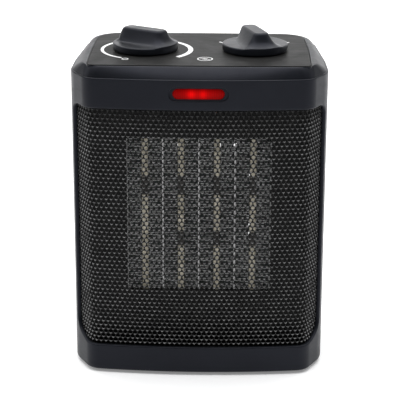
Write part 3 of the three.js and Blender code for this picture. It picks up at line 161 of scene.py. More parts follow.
class PlanOutline:
    """Right half of an outline seen from above, from the front's middle round to the rear's middle.

    marks are the lengths at which its straights and arcs meet, so that two outlines match mark by mark.
    """

    STEP = 0.8
    ARC_STEP = 0.5
    TANGENT = 10  # length of the tangents beyond the first and last corner
    SIDE_X = 40  # the side walls lie beyond this
    FRONT_PART, BACK_PART = 80, 100  # depths where the front part ends and the back part starts

    def __init__(self, front, corners, rear, merged_front=False):
        front_depth, front_bow = front
        rear_depth, rear_bow = rear
        bend_x, knee = corners[0][0], corners[-1]

        def front_line(x):
            return front_depth + front_bow * (BOW_RADIUS - math.sqrt(BOW_RADIUS**2 - x * x))

        def rear_line(x):
            return rear_depth - rear_bow * (x / knee[0]) ** 2

        front_slope = front_bow * bend_x / math.sqrt(BOW_RADIUS**2 - bend_x**2)
        rear_slope = -2 * rear_bow / knee[0]
        before = (bend_x - self.TANGENT, front_line(bend_x) - self.TANGENT * front_slope)
        after = (knee[0] - self.TANGENT, rear_line(knee[0]) - self.TANGENT * rear_slope)
        nodes = [(bend_x, front_line(bend_x), corners[0][2])]
        nodes += corners[1:-1]
        nodes += [(knee[0], rear_line(knee[0]), knee[2])]
        places = [before] + [node[:2] for node in nodes] + [after]
        arcs = [self._corner(*places[i : i + 3], node[2]) for i, node in enumerate(nodes)]
        runs = [self._curve(front_line, 0.0, arcs[0][0][0])]
        for i, arc in enumerate(arcs):
            runs.append(arc)
            if i + 1 < len(arcs):
                runs.append(self._straight(arc[-1], arcs[i + 1][0]))
        runs.append(self._curve(rear_line, arcs[-1][-1][0], 0.0))
        points, marks = [runs[0][0]], [0]
        for run in runs:
            points.extend(run[1:])
            marks.append(len(points) - 1)
        points = np.array(points)
        lengths = np.concatenate(([0.0], np.cumsum(np.linalg.norm(np.diff(points, axis=0), axis=1))))
        marks = [float(lengths[m]) for m in marks]
        if merged_front:  # one corner stands for the two corners of the other outlines
            a, b = marks[1], marks[2]
            marks[2:2] = [a + (b - a) / 3, a + (b - a) * 2 / 3]
        side = (points[:, 0] > self.SIDE_X) & (points[:, 1] > DEPTH / 2)
        split = float(np.interp(SPLIT_DEPTH, points[side][:, 1], lengths[side]))
        marks.insert(SPLIT_MARK, split)
        along = np.gradient(points, axis=0)
        along /= np.linalg.norm(along, axis=1)[:, None]
        self.points, self.lengths, self.marks = points, lengths, marks
        self.normals = np.column_stack((along[:, 1], -along[:, 0]))

    @classmethod
    def _corner(cls, before, here, after, radius):
        """The arc that rounds a corner."""
        here = np.array(here)
        a, b = np.array(before) - here, np.array(after) - here
        a, b = a / np.linalg.norm(a), b / np.linalg.norm(b)
        half = math.acos(float(a @ b)) / 2
        centre = here + (a + b) / np.linalg.norm(a + b) * radius / math.sin(half)
        start, end = (here + side * radius / math.tan(half) for side in (a, b))
        a0, a1 = (math.atan2(*(spot - centre)[::-1]) for spot in (start, end))
        angles = np.linspace(a0, a1, max(6, int(radius * (a1 - a0) / cls.ARC_STEP)) + 1)
        return centre + radius * np.column_stack((np.cos(angles), np.sin(angles)))

    @classmethod
    def _curve(cls, line, x0, x1):
        xs = np.linspace(x0, x1, max(2, int(abs(x1 - x0) / cls.STEP) + 1))
        return np.array([(x, line(x)) for x in xs])

    @classmethod
    def _straight(cls, start, end):
        count = max(2, int(np.linalg.norm(end - start) / cls.STEP) + 1)
        return start + (end - start) * np.linspace(0, 1, count)[:, None]

    def at(self, s):
        """Places and outward normals at lengths from the front's middle, negative on the left."""
        s = np.atleast_1d(np.asarray(s, float))
        total = self.lengths[-1]
        s = np.where(s > total, s - 2 * total, s)
        side = np.where(s < 0, -1.0, 1.0)
        found = np.abs(s)
        x, depth = (np.interp(found, self.lengths, self.points[:, k]) for k in (0, 1))
        nx, ny = (np.interp(found, self.lengths, self.normals[:, k]) for k in (0, 1))
        size = np.hypot(nx, ny)
        places = np.column_stack((side * x, at_depth(depth)))
        return places, np.column_stack((side * nx / size, ny / size))

    def extended_marks(self):
        total = self.marks[-1]
        right = list(self.marks)
        round_back = [2 * total - m for m in reversed(self.marks[:-1])]
        left = [-m for m in reversed(self.marks[1:])]
        return np.array(left + right + round_back)

    def matching(self, other, s):
        """The lengths on this outline that match lengths s on another one."""
        return np.interp(s, other.extended_marks(), self.extended_marks())

    def length_at_depth(self, depth, near):
        """The length at which the front right quarter reaches a depth."""
        part = (self.lengths > near) & (self.points[:, 1] < self.FRONT_PART)
        return np.interp(depth, self.points[part][:, 1], self.lengths[part])

    def length_behind(self, x):
        """The length at which the back reaches x, from the right side round to the left."""
        back = self.points[:, 1] > self.BACK_PART
        total = self.lengths[-1]
        found = np.interp(np.abs(x), self.points[back][::-1, 0], self.lengths[back][::-1])
        return np.where(np.asarray(x) < 0, 2 * total - found, found)


body_plan = PlanOutline(
    (0.0, 1.0), [(BEND_X, 0, 13), (90.5, 28, 30), (89.5, 60, 60), (83.5, 128.5, 22)], (DEPTH, 1.5)
)
top_plan = PlanOutline(
    (8.4, 0.25), [(74.6, 0, 13), (80.9, 19.2, 13), (80.9, 60, 60), (77.9, 114.5, 20)], (116.0, 1.5)
)
panel_plan = PlanOutline(
    (9.8, 0.25), [(77.0, 0, 2.5), (77.2, 60, 60), (75.3, 111.4, 18)], (112.9, 1.5), merged_front=True
)


# ---- meshes
def finish_piece(piece, material, body, replaced=(), sharp=38.0, weighted=True):
    """Gives a piece its finish and shading, and says what it rides on and stands for."""
    mesh = piece.data
    if material is not None:
        mesh.materials.clear()
        mesh.materials.append(material)
    mesh.shade_smooth()
    mesh.set_sharp_from_angle(angle=math.radians(sharp))
    if weighted:
        modifier = piece.modifiers.new("even shading", "WEIGHTED_NORMAL")
        modifier.keep_sharp = True
        modifier.weight = 60
    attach(piece, body)
    if replaced:
        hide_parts(*replaced)


def new_object(name, points, faces):
    mesh = bpy.data.meshes.new(name)
    mesh.from_pydata((np.asarray(points, float) * MM).tolist(), [], [tuple(map(int, f)) for f in faces])
    mesh.validate()
    piece = bpy.data.objects.new(name, mesh)
    bpy.context.scene.collection.objects.link(piece)
    return piece


def closed_object(name, points, faces):
    """A closed object, with its doubles merged and every face turned outwards."""
    piece = new_object(name, points, faces)
    work = bmesh.new()
    work.from_mesh(piece.data)
    bmesh.ops.remove_doubles(work, verts=work.verts, dist=DOUBLES)
    bmesh.ops.recalc_face_normals(work, faces=work.faces)
    work.to_mesh(piece.data)
    work.free()
    return piece


def capped_object(name, lines):
    """A closed object through rings of equally many points, with a face at each end."""
    body = Body()
    rings = [body.ring(line) for line in lines]
    body.strips(rings, closed=True)
    body.face(rings[0])
    body.face(rings[-1])
    return closed_object(name, body.points, body.faces)


def level(line, z):
    """Points of a plan line, placed at a height."""
    return np.column_stack((np.asarray(line), np.full(len(line), z)))


class Body:
    """Points and faces gathered for one mesh."""

    def __init__(self):
        self.points = []
        self.faces = []

    def ring(self, places):
        """Adds points and returns their numbers."""
        first = len(self.points)
        self.points.extend(np.asarray(places, float).tolist())
        return list(range(first, len(self.points)))

    def strip(self, low, high, closed=False):
        """Faces between two rings of equally many points."""
        count = len(low)
        for i in range(count if closed else count - 1):
            j = (i + 1) % count
            self.faces.append((low[i], low[j], high[j], high[i]))

    def strips(self, rings, closed=False):
        for low, high in zip(rings, rings[1:]):
            self.strip(low, high, closed)

    def face(self, ring):
        self.faces.append(tuple(ring))


def inside(points, outline):
    """Which points lie inside a closed outline."""
    found = np.zeros(len(points), bool)
    x, y = points[:, 0], points[:, 1]
    x0, y0 = outline[-1]
    for x1, y1 in outline:
        crosses = (y1 > y) != (y0 > y)
        with np.errstate(divide="ignore", invalid="ignore"):
            at = (x0 - x1) * (y - y1) / (y0 - y1) + x1
        found ^= crosses & (x < at)
        x0, y0 = x1, y1
    return found


def near_outline(points, outline, reach):
    a = np.asarray(outline)
    b = np.roll(a, -1, axis=0)
    close = np.zeros(len(points), bool)
    for p, q in zip(a, b):
        d = q - p
        t = np.clip(((points - p) @ d) / max(float(d @ d), 1e-9), 0, 1)
        close |= np.linalg.norm(points - p - t[:, None] * d, axis=1) < reach
    return close


def sheet_with_holes(edge, holes, columns, rows, reach=0.6):
    """Triangles that fill an outline round its holes.

    Gives every point used, the faces, and the numbers of each outline's points.
    """
    grid = np.array([(x, y) for x in columns for y in rows])
    keep = inside(grid, edge) & ~near_outline(grid, edge, reach)
    for hole in holes:
        low, high = np.min(hole, axis=0) - 2, np.max(hole, axis=0) + 2
        local = np.all((grid > low) & (grid < high), axis=1)
        drop = np.zeros(len(grid), bool)
        drop[local] = inside(grid[local], hole) | near_outline(grid[local], hole, reach)
        keep &= ~drop
    outlines = [np.asarray(edge, float)] + [np.asarray(h, float) for h in holes]
    points = np.concatenate(outlines + [grid[keep]])
    edges, numbers, first = [], [], 0
    for outline in outlines:
        count = len(outline)
        numbers.append(list(range(first, first + count)))
        edges += [(first + i, first + (i + 1) % count) for i in range(count)]
        first += count
    out, _, faces, origin, _, _ = geometry.delaunay_2d_cdt([Vector(p) for p in points], edges, [], 0, 1e-7)
    back = [o[0] for o in origin]
    faces = np.array([[back[i] for i in f] for f in faces])
    middles = points[faces].mean(axis=1)
    good = inside(middles, edge)
    for hole in holes:
        good &= ~inside(middles, hole)
    return points, faces[good], numbers


def grown(outline, distance):
    """A closed anticlockwise outline, moved outwards by a distance."""
    outline = np.asarray(outline, float)
    before = outline - np.roll(outline, 1, axis=0)
    after = np.roll(outline, -1, axis=0) - outline
    before /= np.linalg.norm(before, axis=1)[:, None]
    after /= np.linalg.norm(after, axis=1)[:, None]
    along = before + after
    along /= np.linalg.norm(along, axis=1)[:, None]
    outward = np.column_stack((along[:, 1], -along[:, 0]))
    lean = np.clip(np.sum(outward * np.column_stack((after[:, 1], -after[:, 0])), axis=1), 0.5, 1)
    return outline + outward * (distance / lean)[:, None]


def rounded_box(width, height, radius, middle=(0, 0), corner_steps=5, spacing=3.0):
    """A rectangle with round corners, anticlockwise."""
    points = []
    cx, cy = middle
    reach_x, reach_y = width / 2 - radius, height / 2 - radius
    for sx, sy, start in ((1, -1, -90), (1, 1, 0), (-1, 1, 90), (-1, -1, 180)):
        for step in range(corner_steps + 1):
            a = math.radians(start + 90 * step / corner_steps)
            corner_x, corner_y = cx + sx * reach_x, cy + sy * reach_y
            points.append((corner_x + radius * math.cos(a), corner_y + radius * math.sin(a)))
    return subdivided(points, spacing)


def subdivided(points, spacing):
    """A closed outline with points added where its edges are longer than the spacing."""
    result = []
    for p, q in zip(points, points[1:] + points[:1]):
        length = math.dist(p, q)
        if length < DOUBLES:
            continue
        count = max(1, math.ceil(length / spacing - DOUBLES))
        result += [
            (p[0] + (q[0] - p[0]) * i / count, p[1] + (q[1] - p[1]) * i / count) for i in range(count)
        ]
    return result


def circle(radius, middle=(0, 0), count=24):
    angles = np.linspace(0, 2 * np.pi, count, endpoint=False)
    return np.column_stack((middle[0] + radius * np.cos(angles), middle[1] + radius * np.sin(angles)))


# ---- casing shells
def on_wall(line, sunk=0.0):
    """Points on the casing's upright wall, or sunk behind it, from a line of lengths and heights."""
    places, normals = body_plan.at(line[:, 0])
    return np.column_stack((places - normals * sunk, line[:, 1]))


def lip_rings(outline, radius, steps=4):
    """Rings in length and height, with how far they are sunk, that round an opening's edge over."""
    rings = []
    for step in range(1, steps + 1):
        a = math.pi / 2 * step / steps
        rings.append((grown(outline, radius * (1 - math.sin(a))), radius * (1 - math.cos(a))))
    return rings


def wall_opening(outline, radius):
    """An opening straight through the wall: its edges in length and height, and its rings in space."""
    rings = [on_wall(*lip) for lip in lip_rings(outline, radius)]
    return {"outer": grown(outline, radius), "inner": np.asarray(outline, float), "rings": rings}


def facing_back(outline, radius, tunnel, inner_grow):
    """An opening cut from behind along Y; tunnel lists how much each further ring grows, and its depth."""

    def unrolled(points):
        points = np.asarray(points, float)
        return np.column_stack((body_plan.length_behind(points[:, 0]), points[:, 1]))

    def in_space(points, depth):
        points = np.asarray(points, float)
        return np.column_stack((points[:, 0], np.broadcast_to(at_depth(depth), len(points)), points[:, 1]))

    rings = [on_wall(unrolled(ring), sunk) for ring, sunk in lip_rings(outline, radius, 3)]
    rings += [in_space(grown(outline, more), depth) for more, depth in tunnel]
    return {
        "outer": unrolled(grown(outline, radius)),
        "inner": unrolled(grown(outline, inner_grow)),
        "rings": rings,
    }


def wall_columns(start, end):
    """Lengths along the wall, closer together where it bends."""
    marks = body_plan.extended_marks()
    columns = []
    for a, b in zip(marks, marks[1:]):
        a, b = max(a, start), min(b, end)
        if b - a < DOUBLES:
            continue
        middle = (a + b) / 2
        bend = np.linalg.norm(np.diff(body_plan.at([middle - 0.5, middle + 0.5])[1], axis=0))
        spacing = BEND_SPACING if bend > BEND_TURN else WALL_SPACING
        columns += list(np.linspace(a, b, max(2, int((b - a) / spacing) + 1))[:-1])
    return np.array(columns + [end])


def casing_shell(name, start, end, holes, side):
    """A closed moulded half of the casing between two lengths along the wall; side is -1 for the front."""
    low, high = BOTTOM_Z + FOOT_ROUND, CREASE_Z - CREASE_ROUND
    columns = wall_columns(start, end)
    rows = np.linspace(low, high, WALL_ROWS)
    edge = [(s, low) for s in columns]
    edge += [(end, z) for z in rows[1:]]
    edge += [(s, high) for s in columns[::-1][1:]]
    edge += [(start, z) for z in rows[::-1][1:-1]]
    flat, faces, numbers = sheet_with_holes(edge, [h["outer"] for h in holes], columns, rows)
    shell = Body()
    skin = shell.ring(on_wall(flat))
    behind = flat.copy()
    for hole, ring in zip(holes, numbers[1:]):
        behind[ring] = hole["inner"]
    lining = shell.ring(on_wall(behind, WALL))
    shell.faces += [tuple(skin[i] for i in f) for f in faces]
    shell.faces += [tuple(lining[i] for i in f[::-1]) for f in faces]
    for hole, ring in zip(holes, numbers[1:]):
        fill_opening(shell, hole, [skin[i] for i in ring], [lining[i] for i in ring])

    count, climb = len(columns), len(rows) - 1
    border = numbers[0]
    bottom, top = border[:count], border[count + climb - 1 : 2 * count + climb - 1][::-1]
    under = [shell.ring(r) for r in rounded_rings(columns, FOOT_ROUND, 0.0, low, -1)]
    inside_floor = [shell.ring(r) for r in rounded_rings(columns, FLOOR_ROUND, -WALL, low, -1)]
    for first, rings in ((skin, under), (lining, inside_floor)):
        shell.strips([[first[i] for i in bottom]] + rings)
    for rings in (under, inside_floor):
        shell.face(rings[-1])
    upper = [shell.ring(r) for r in shoulder_rings(columns, high)]
    shell.strips([[skin[i] for i in top]] + upper + [[lining[i] for i in top]])

    first_wall = [bottom[0]] + border[2 * count + climb - 1 :][::-1] + [top[0]]
    last_wall = border[count - 1 : count + climb]
    for which, wall in ((0, first_wall), (-1, last_wall)):
        outside = [r[which] for r in under[::-1]] + [skin[i] for i in wall] + [r[which] for r in upper]
        shell.face(outside + [lining[i] for i in wall[::-1]] + [r[which] for r in inside_floor])
    outer, inner = under[-1], inside_floor[-1]
    shell.face((outer[0], outer[-1], inner[-1], inner[0]))
    points = np.array(shell.points)
    cut = at_depth(SPLIT_DEPTH + side * SPLIT_GAP / 2)
    points[:, 1] = np.minimum(points[:, 1], cut) if side < 0 else np.maximum(points[:, 1], cut)
    return closed_object(name, points, shell.faces)


def fill_opening(shell, hole, mouth, back):
    """Walls from an opening's mouth to its back, or, for a pocket, two skins with a floor each."""
    rings = [shell.ring(r) for r in hole["rings"]]
    if "outside" not in hole:
        shell.strips([mouth] + rings + [back], closed=True)
        return
    for first, more in ((mouth, rings), (back, [shell.ring(r) for r in hole["outside"]])):
        shell.strips([first] + more, closed=True)
        shell.face(more[-1])


def plan_ring(plan, columns, grow, z):
    """Points along an outline grown outwards, which match lengths on the body's outline."""
    places, normals = plan.at(plan.matching(body_plan, columns))
    return np.column_stack((places + normals * grow, np.full(len(columns), z)))


def rounded_rings(columns, radius, grow, z, rise):
    """Rings that round an edge inwards as they climb, or as they fall if rise is -1."""
    return [
        plan_ring(body_plan, columns, grow - radius * (1 - math.cos(a)), z + rise * radius * math.sin(a))
        for a in (QUARTER_TURN * k / 5 for k in range(1, 6))
    ]


def eased(a, b, c, steps=5):
    """Rings that curve from a to c, drawn towards b."""
    shares = [step / steps for step in range(1, steps + 1)]
    return [(1 - t) ** 2 * a + 2 * t * (1 - t) * b + t * t * c for t in shares]


def shoulder_rings(columns, high):
    """Rings from the top of the upright wall, over the shoulder and the rim, down to the lining."""
    rim_z = TOP_Z - RIM_DROP
    foot = plan_ring(body_plan, columns, -CREASE_ROUND - CREASE_LEDGE, CREASE_Z)
    brow = plan_ring(top_plan, columns, 0, rim_z)
    rim = plan_ring(panel_plan, columns, SEAM, rim_z)
    normals = body_plan.at(columns)[1]
    out = np.column_stack((normals, np.ones(len(columns)))) * SHOULDER_BULGE / math.sqrt(2)

    def slope(share):
        return foot + share * (brow - foot) + out * 4 * share * (1 - share)

    rings = rounded_rings(columns, CREASE_ROUND, 0.0, high, 1) + [foot]
    rings += [slope(share) for share in SHOULDER_SHARES]
    rings += [slope(BROW_SHARE)] + eased(slope(BROW_SHARE), brow, brow + BROW_REACH * (rim - brow))
    before_edge = plan_ring(panel_plan, columns, SEAM + SEAM_EDGE, rim_z)
    rings += eased(before_edge, rim, plan_ring(panel_plan, columns, SEAM, rim_z - SEAM_EDGE), 3)
    shelf = TOP_Z - PANEL_THICK - SEAM
    for plan, grow, z in (
        (panel_plan, SEAM, shelf),
        (panel_plan, -LEDGE, shelf),
        (panel_plan, -LEDGE, TOP_Z - LEDGE_DROP),
        (body_plan, -WALL - 1, CREASE_Z),
    ):
        rings.append(plan_ring(plan, columns, grow, z))
    return rings


# ---- node trees
SKIN_MERGE, CELL_MERGE = 0.00002, 0.00005  # in metres


class Tree:
    """A node tree with named inputs and outputs, and short calls for placing its nodes."""

    def __init__(self, tree):
        self.tree = tree

    @classmethod
    def group(cls, name, kind, inputs, outputs):
        tree = bpy.data.node_groups.new(name, kind)
        made = cls(tree)
        for label, socket, value in inputs:
            kind_name = f"NodeSocket{socket}"
            given = tree.interface.new_socket(label, in_out="INPUT", socket_type=kind_name)
            if value is not None:
                given.default_value = value
        for label, socket in outputs:
            tree.interface.new_socket(label, in_out="OUTPUT", socket_type=f"NodeSocket{socket}")
        made.given = tree.nodes.new("NodeGroupInput").outputs
        made.result = tree.nodes.new("NodeGroupOutput").inputs
        return made

    def put(self, socket, value):
        if isinstance(value, bpy.types.NodeSocket):
            self.tree.links.new(value, socket)
        else:
            socket.default_value = value

    def fill(self, node, inputs):
        """Sets a node's inputs, named with underscores for spaces, or numbered as in_0."""
        for key, value in inputs.items():
            known = int(key[3:]) if key.startswith("in_") else key.replace("_", " ")
            self.put(node.inputs[known], value)

    def add(self, kind, settings=None, **inputs):
        node = self.tree.nodes.new(kind)
        for key, value in (settings or {}).items():
            setattr(node, key, value)
        self.fill(node, inputs)
        return node.outputs

    def use(self, group, **inputs):
        """Places a node group."""
        return self.add("ShaderNodeGroup", {"node_tree": group}, **inputs)

    def give(self, *values):
        """Puts out the results, and ends the tree."""
        for socket, value in zip(self.result, values):
            self.put(socket, value)
        return self.tree

    def maths(self, operation, a, b=0.0):
        return self.add("ShaderNodeMath", {"operation": operation}, in_0=a, in_1=b)[0]

    plus = partialmethod(maths, "ADD")
    minus = partialmethod(maths, "SUBTRACT")
    times = partialmethod(maths, "MULTIPLY")
    over = partialmethod(maths, "DIVIDE")
    modulo = partialmethod(maths, "MODULO")
    power = partialmethod(maths, "POWER")
    larger = partialmethod(maths, "MAXIMUM")
    floor = partialmethod(maths, "FLOOR")
    size = partialmethod(maths, "ABSOLUTE")

    def joined(self, **parts):
        return self.add("ShaderNodeCombineXYZ", **parts)[0]

    def parts(self, vector):
        return self.add("ShaderNodeSeparateXYZ", Vector=vector)

    def ranged(self, value, low, high, to_low=0.0, to_high=1.0):
        """A value between low and high, carried over to another range and kept within it."""
        ends = {"From_Min": low, "From_Max": high, "To_Min": to_low, "To_Max": to_high}
        return self.add("ShaderNodeMapRange", Value=value, **ends)[0]

    def place(self, scale=(1, 1, 1)):
        """Places on the piece, stretched by a scale."""
        spot = self.add("ShaderNodeTexCoord")["Object"]
        return self.add("ShaderNodeMapping", Vector=spot, Scale=scale)[0]

    def merged(self, mesh, distance):
        return self.add("GeometryNodeMergeByDistance", Geometry=mesh, Distance=distance)[0]

    def noise(self, place, scale, detail=2.0, roughness=0.5, distortion=0.0):
        looks = {"Detail": detail, "Roughness": roughness, "Distortion": distortion}
        return self.add("ShaderNodeTexNoise", Vector=place, Scale=scale, **looks)[0]

    def bands(self, place, scale, **looks):
        """Soft upright bands across the piece."""
        settings = {"wave_type": "BANDS", "bands_direction": "X"}
        return self.add("ShaderNodeTexWave", settings, Vector=place, Scale=scale, **looks)[1]

    def mixed(self, share, a, b):
        """A colour between two, each four numbers or a socket."""
        node = self.tree.nodes.new("ShaderNodeMix")
        node.data_type = "RGBA"
        colours = [s for s in node.inputs if s.type == "RGBA"]
        for socket, value in ((node.inputs[0], share), (colours[0], a), (colours[1], b)):
            self.put(socket, value)
        return next(s for s in node.outputs if s.type == "RGBA")


def made_by_nodes(piece, tree, values):
    """Runs a geometry tree on a piece with inputs given by name, and keeps the result as a plain mesh."""
    modifier = piece.modifiers.new(tree.name, "NODES")
    modifier.node_group = tree
    sockets = {s.name: s.identifier for s in tree.interface.items_tree if s.in_out == "INPUT"}
    for name, value in values.items():
        modifier[sockets[name]] = value
    bpy.context.view_layer.update()
    evaluated = piece.evaluated_get(bpy.context.evaluated_depsgraph_get())
    mesh = bpy.data.meshes.new_from_object(evaluated)
    piece.modifiers.remove(modifier)
    piece.data = mesh
    mesh.name = piece.name


def thickened(tree, sheet, offset):
    """The nodes that make a closed solid of a sheet: the sheet itself, and its copy pushed back."""
    inputs = {"Mesh": sheet, "Offset": offset, "Individual": False}
    pushed = tree.add("GeometryNodeExtrudeMesh", {"mode": "FACES"}, **inputs)["Mesh"]
    turned = tree.add("GeometryNodeFlipFaces", Mesh=pushed)[0]
    both = tree.tree.nodes.new("GeometryNodeJoinGeometry")
    for part in (turned, sheet):
        tree.put(both.inputs[0], part)
    return tree.merged(both.outputs[0], SKIN_MERGE)


def perforated_sheet_tree():
    """Repeats a six-sided cell in staggered rows, joins the cells, and bends the sheet along a line."""
    inputs = [
        ("Cell", "Geometry", None),
        ("Plan Line", "Object", None),
        ("Middle Length", "Float", 0.1),
        ("Middle Height", "Float", 0.1),
        ("Hole Pitch", "Float", 0.0035),
        ("Row Pitch", "Float", 0.003),
        ("Columns", "Int", 10),
        ("Rows", "Int", 10),
        ("Thickness", "Float", 0.0008),
        ("Finish", "Material", None),
    ]
    t = Tree.group("perforated sheet", "GeometryNodeTree", inputs, [("Geometry", "Geometry")])
    g = t.given
    index = t.add("GeometryNodeInputIndex")[0]
    row = t.floor(t.over(t.plus(index, 0.5), g["Columns"]))
    column = t.minus(index, t.times(row, g["Columns"]))
    stagger = t.times(t.minus(t.modulo(row, 2.0), 0.5), 0.5)
    half_columns, half_rows = (t.times(t.minus(g[k], 1.0), 0.5) for k in ("Columns", "Rows"))
    x = t.times(t.plus(t.minus(column, half_columns), stagger), g["Hole Pitch"])
    z = t.plus(t.times(t.minus(row, half_rows), g["Row Pitch"]), g["Middle Height"])
    count = t.times(g["Columns"], g["Rows"])
    points = t.add("GeometryNodePoints", Count=count, Position=t.joined(X=x, Z=z))[0]
    cells = t.add("GeometryNodeInstanceOnPoints", Points=points, Instance=g["Cell"])[0]
    real = t.add("GeometryNodeRealizeInstances", Geometry=cells)[0]
    sheet = t.merged(real, CELL_MERGE)
    closed = thickened(t, sheet, t.joined(Y=g["Thickness"]))
    line = t.add("GeometryNodeObjectInfo", Object=g["Plan Line"])["Geometry"]
    at = t.parts(t.add("GeometryNodeInputPosition")[0])
    length = t.plus(at[0], g["Middle Length"])
    sample = t.add("GeometryNodeSampleCurve", {"mode": "LENGTH"}, Curves=line, Length=length)
    along, on_line = t.parts(sample["Tangent"]), t.parts(sample["Position"])
    # Sunk points move against the outward normal, which is the tangent turned a quarter clockwise.
    bent = t.joined(
        X=t.minus(on_line[0], t.times(along[1], at[1])),
        Y=t.plus(on_line[1], t.times(along[0], at[1])),
        Z=at[2],
    )
    wrapped = t.add("GeometryNodeSetPosition", Geometry=closed, Position=bent)[0]
    return t.give(t.add("GeometryNodeSetMaterial", Geometry=wrapped, Material=g["Finish"])[0])


def folded_fin_tree():
    """A ribbon folded to and fro as it climbs, from a line of points."""
    inputs = [
        ("Geometry", "Geometry", None),
        ("Low Corner", "Vector", None),
        ("Width", "Float", 0.009),
        ("Depth", "Float", 0.014),
        ("Height", "Float", 0.1),
        ("Folds", "Int", 50),
        ("Thickness", "Float", 0.0002),
        ("Finish", "Material", None),
    ]
    t = Tree.group("folded fin", "GeometryNodeTree", inputs, [("Geometry", "Geometry")])
    g = t.given
    line = t.add("GeometryNodeMeshLine", Count=t.plus(t.times(g["Folds"], 2.0), 2.0))[0]
    index = t.add("GeometryNodeInputIndex")[0]
    side = t.modulo(t.floor(t.times(t.plus(index, 1.0), 0.5)), 2.0)
    level = t.floor(t.times(t.plus(index, 0.5), 0.5))
    step = t.over(g["Height"], g["Folds"])
    # Each run slopes a little, as a pressed ribbon does.
    lean = t.times(t.times(t.modulo(index, 2.0), step), 0.35)
    place = t.joined(X=t.times(side, g["Width"]), Z=t.plus(t.times(level, step), lean))
    moved = t.add("ShaderNodeVectorMath", {"operation": "ADD"}, in_0=place, in_1=g["Low Corner"])[0]
    folded = t.add("GeometryNodeSetPosition", Geometry=line, Position=moved)[0]
    depth = t.joined(Y=g["Depth"])
    sheet = t.add("GeometryNodeExtrudeMesh", {"mode": "EDGES"}, Mesh=folded, Offset=depth)[0]
    closed = thickened(t, sheet, t.joined(Z=g["Thickness"]))
    real = t.add("GeometryNodeRealizeInstances", Geometry=closed)[0]
    return t.give(t.add("GeometryNodeSetMaterial", Geometry=real, Material=g["Finish"])[0])


# ---- shared surface effects
def moulded_grain_group():
    """Fine spark-eroded grain, with slow changes of tone as in large mouldings."""
    inputs = [("Grain per Metre", "Float", 2500.0), ("Tone per Metre", "Float", 22.0)]
    t = Tree.group("moulded grain", "ShaderNodeTree", inputs, [("Height", "Float"), ("Tone", "Float")])
    place = t.place()
    fine = t.noise(place, t.given[0], 3.0, 0.6)
    pits = t.add("ShaderNodeTexVoronoi", Vector=place, Scale=t.given[0])[0]
    height = t.plus(t.times(fine, 0.7), t.times(pits, 0.4))
    return t.give(height, t.noise(place, t.given[1], 4.0, 0.55))


def handling_marks_group():
    """Faint smears and hairline rubs, which change the gloss of plastic that is wiped and carried."""
    inputs = [("Smears per Metre", "Float", 30.0), ("Rubs per Metre", "Float", 300.0)]
    t = Tree.group("handling marks", "ShaderNodeTree", inputs, [("Smear", "Float"), ("Rub", "Float")])
    smear = t.noise(t.place((1, 1, 2.2)), t.given[0], 6.0, 0.7, 1.2)
    return t.give(smear, t.noise(t.place((0.12, 1.0, 1.6)), t.given[1]))


def looking_up(t):
    """How far a face looks up."""
    return t.parts(t.add("ShaderNodeNewGeometry")["Normal"])[2]


def settled_dust_group():
    """A little pale dust on faces that look up, in drifts."""
    t = Tree.group("settled dust", "ShaderNodeTree", [("Amount", "Float", 0.1)], [("Dust", "Float")])
    facing = t.ranged(looking_up(t), 0.3, 1.0)
    patchy = t.ranged(t.noise(t.place(), 60.0, 8.0, 0.75), 0.42, 0.75)
    return t.give(t.times(t.times(facing, patchy), t.given[0]))


def rim_glints_group():
    """Painted glints: a pale grey laid in patches on rims that look up."""
    t = Tree.group("worn rims", "ShaderNodeTree", [("Amount", "Float", 0.8)], [("Wear", "Float")])
    facing = t.ranged(looking_up(t), 0.57, 0.74)
    share = t.ranged(t.noise(t.place(), 120.0, 4.0), 0.35, 0.6, 0.45, 1.0)
    return t.give(t.times(t.times(facing, share), t.given[0]))


def drawn_metal_group():
    """Streaks along the rolling direction, and scattered stains."""
    inputs = [("Stretch", "Vector", (1, 1, 1)), ("Streaks per Metre", "Float", 900.0)]
    outputs = [("Height", "Float"), ("Streak", "Float"), ("Stain", "Float")]
    t = Tree.group("drawn metal", "ShaderNodeTree", inputs, outputs)
    streak = t.noise(t.place(t.given[0]), t.given[1], 3.0)
    stain = t.noise(t.add("ShaderNodeTexCoord")["Object"], 110.0, 5.0, 0.65)
    return t.give(streak, streak, stain)


GRAIN = moulded_grain_group()
MARKS = handling_marks_group()
DUST = settled_dust_group()
# painted glints for the grille's hole rims
RIM_GLINTS = rim_glints_group()
DRAWN = drawn_metal_group()


# ---- finishes
class Finish(Tree):
    """A material's node tree, with the shader that it feeds."""

    def __init__(self, name, roughness, metallic=0.0, **constants):
        self.material = bpy.data.materials.new(name)
        self.material.use_nodes = True
        super().__init__(self.material.node_tree)
        self.shader = self.tree.nodes["Principled BSDF"]
        self.feed(Roughness=roughness, Metallic=metallic, **constants)

    def feed(self, **inputs):
        self.fill(self.shader, inputs)

    def bumped(self, height, strength, distance):
        bump = self.add("ShaderNodeBump", Height=height, Strength=strength, Distance=distance)
        self.feed(Normal=bump[0])


def grey(value, blue=0.0):
    return (value * (1 - blue), value, value * (1 + 2 * blue), 1.0)


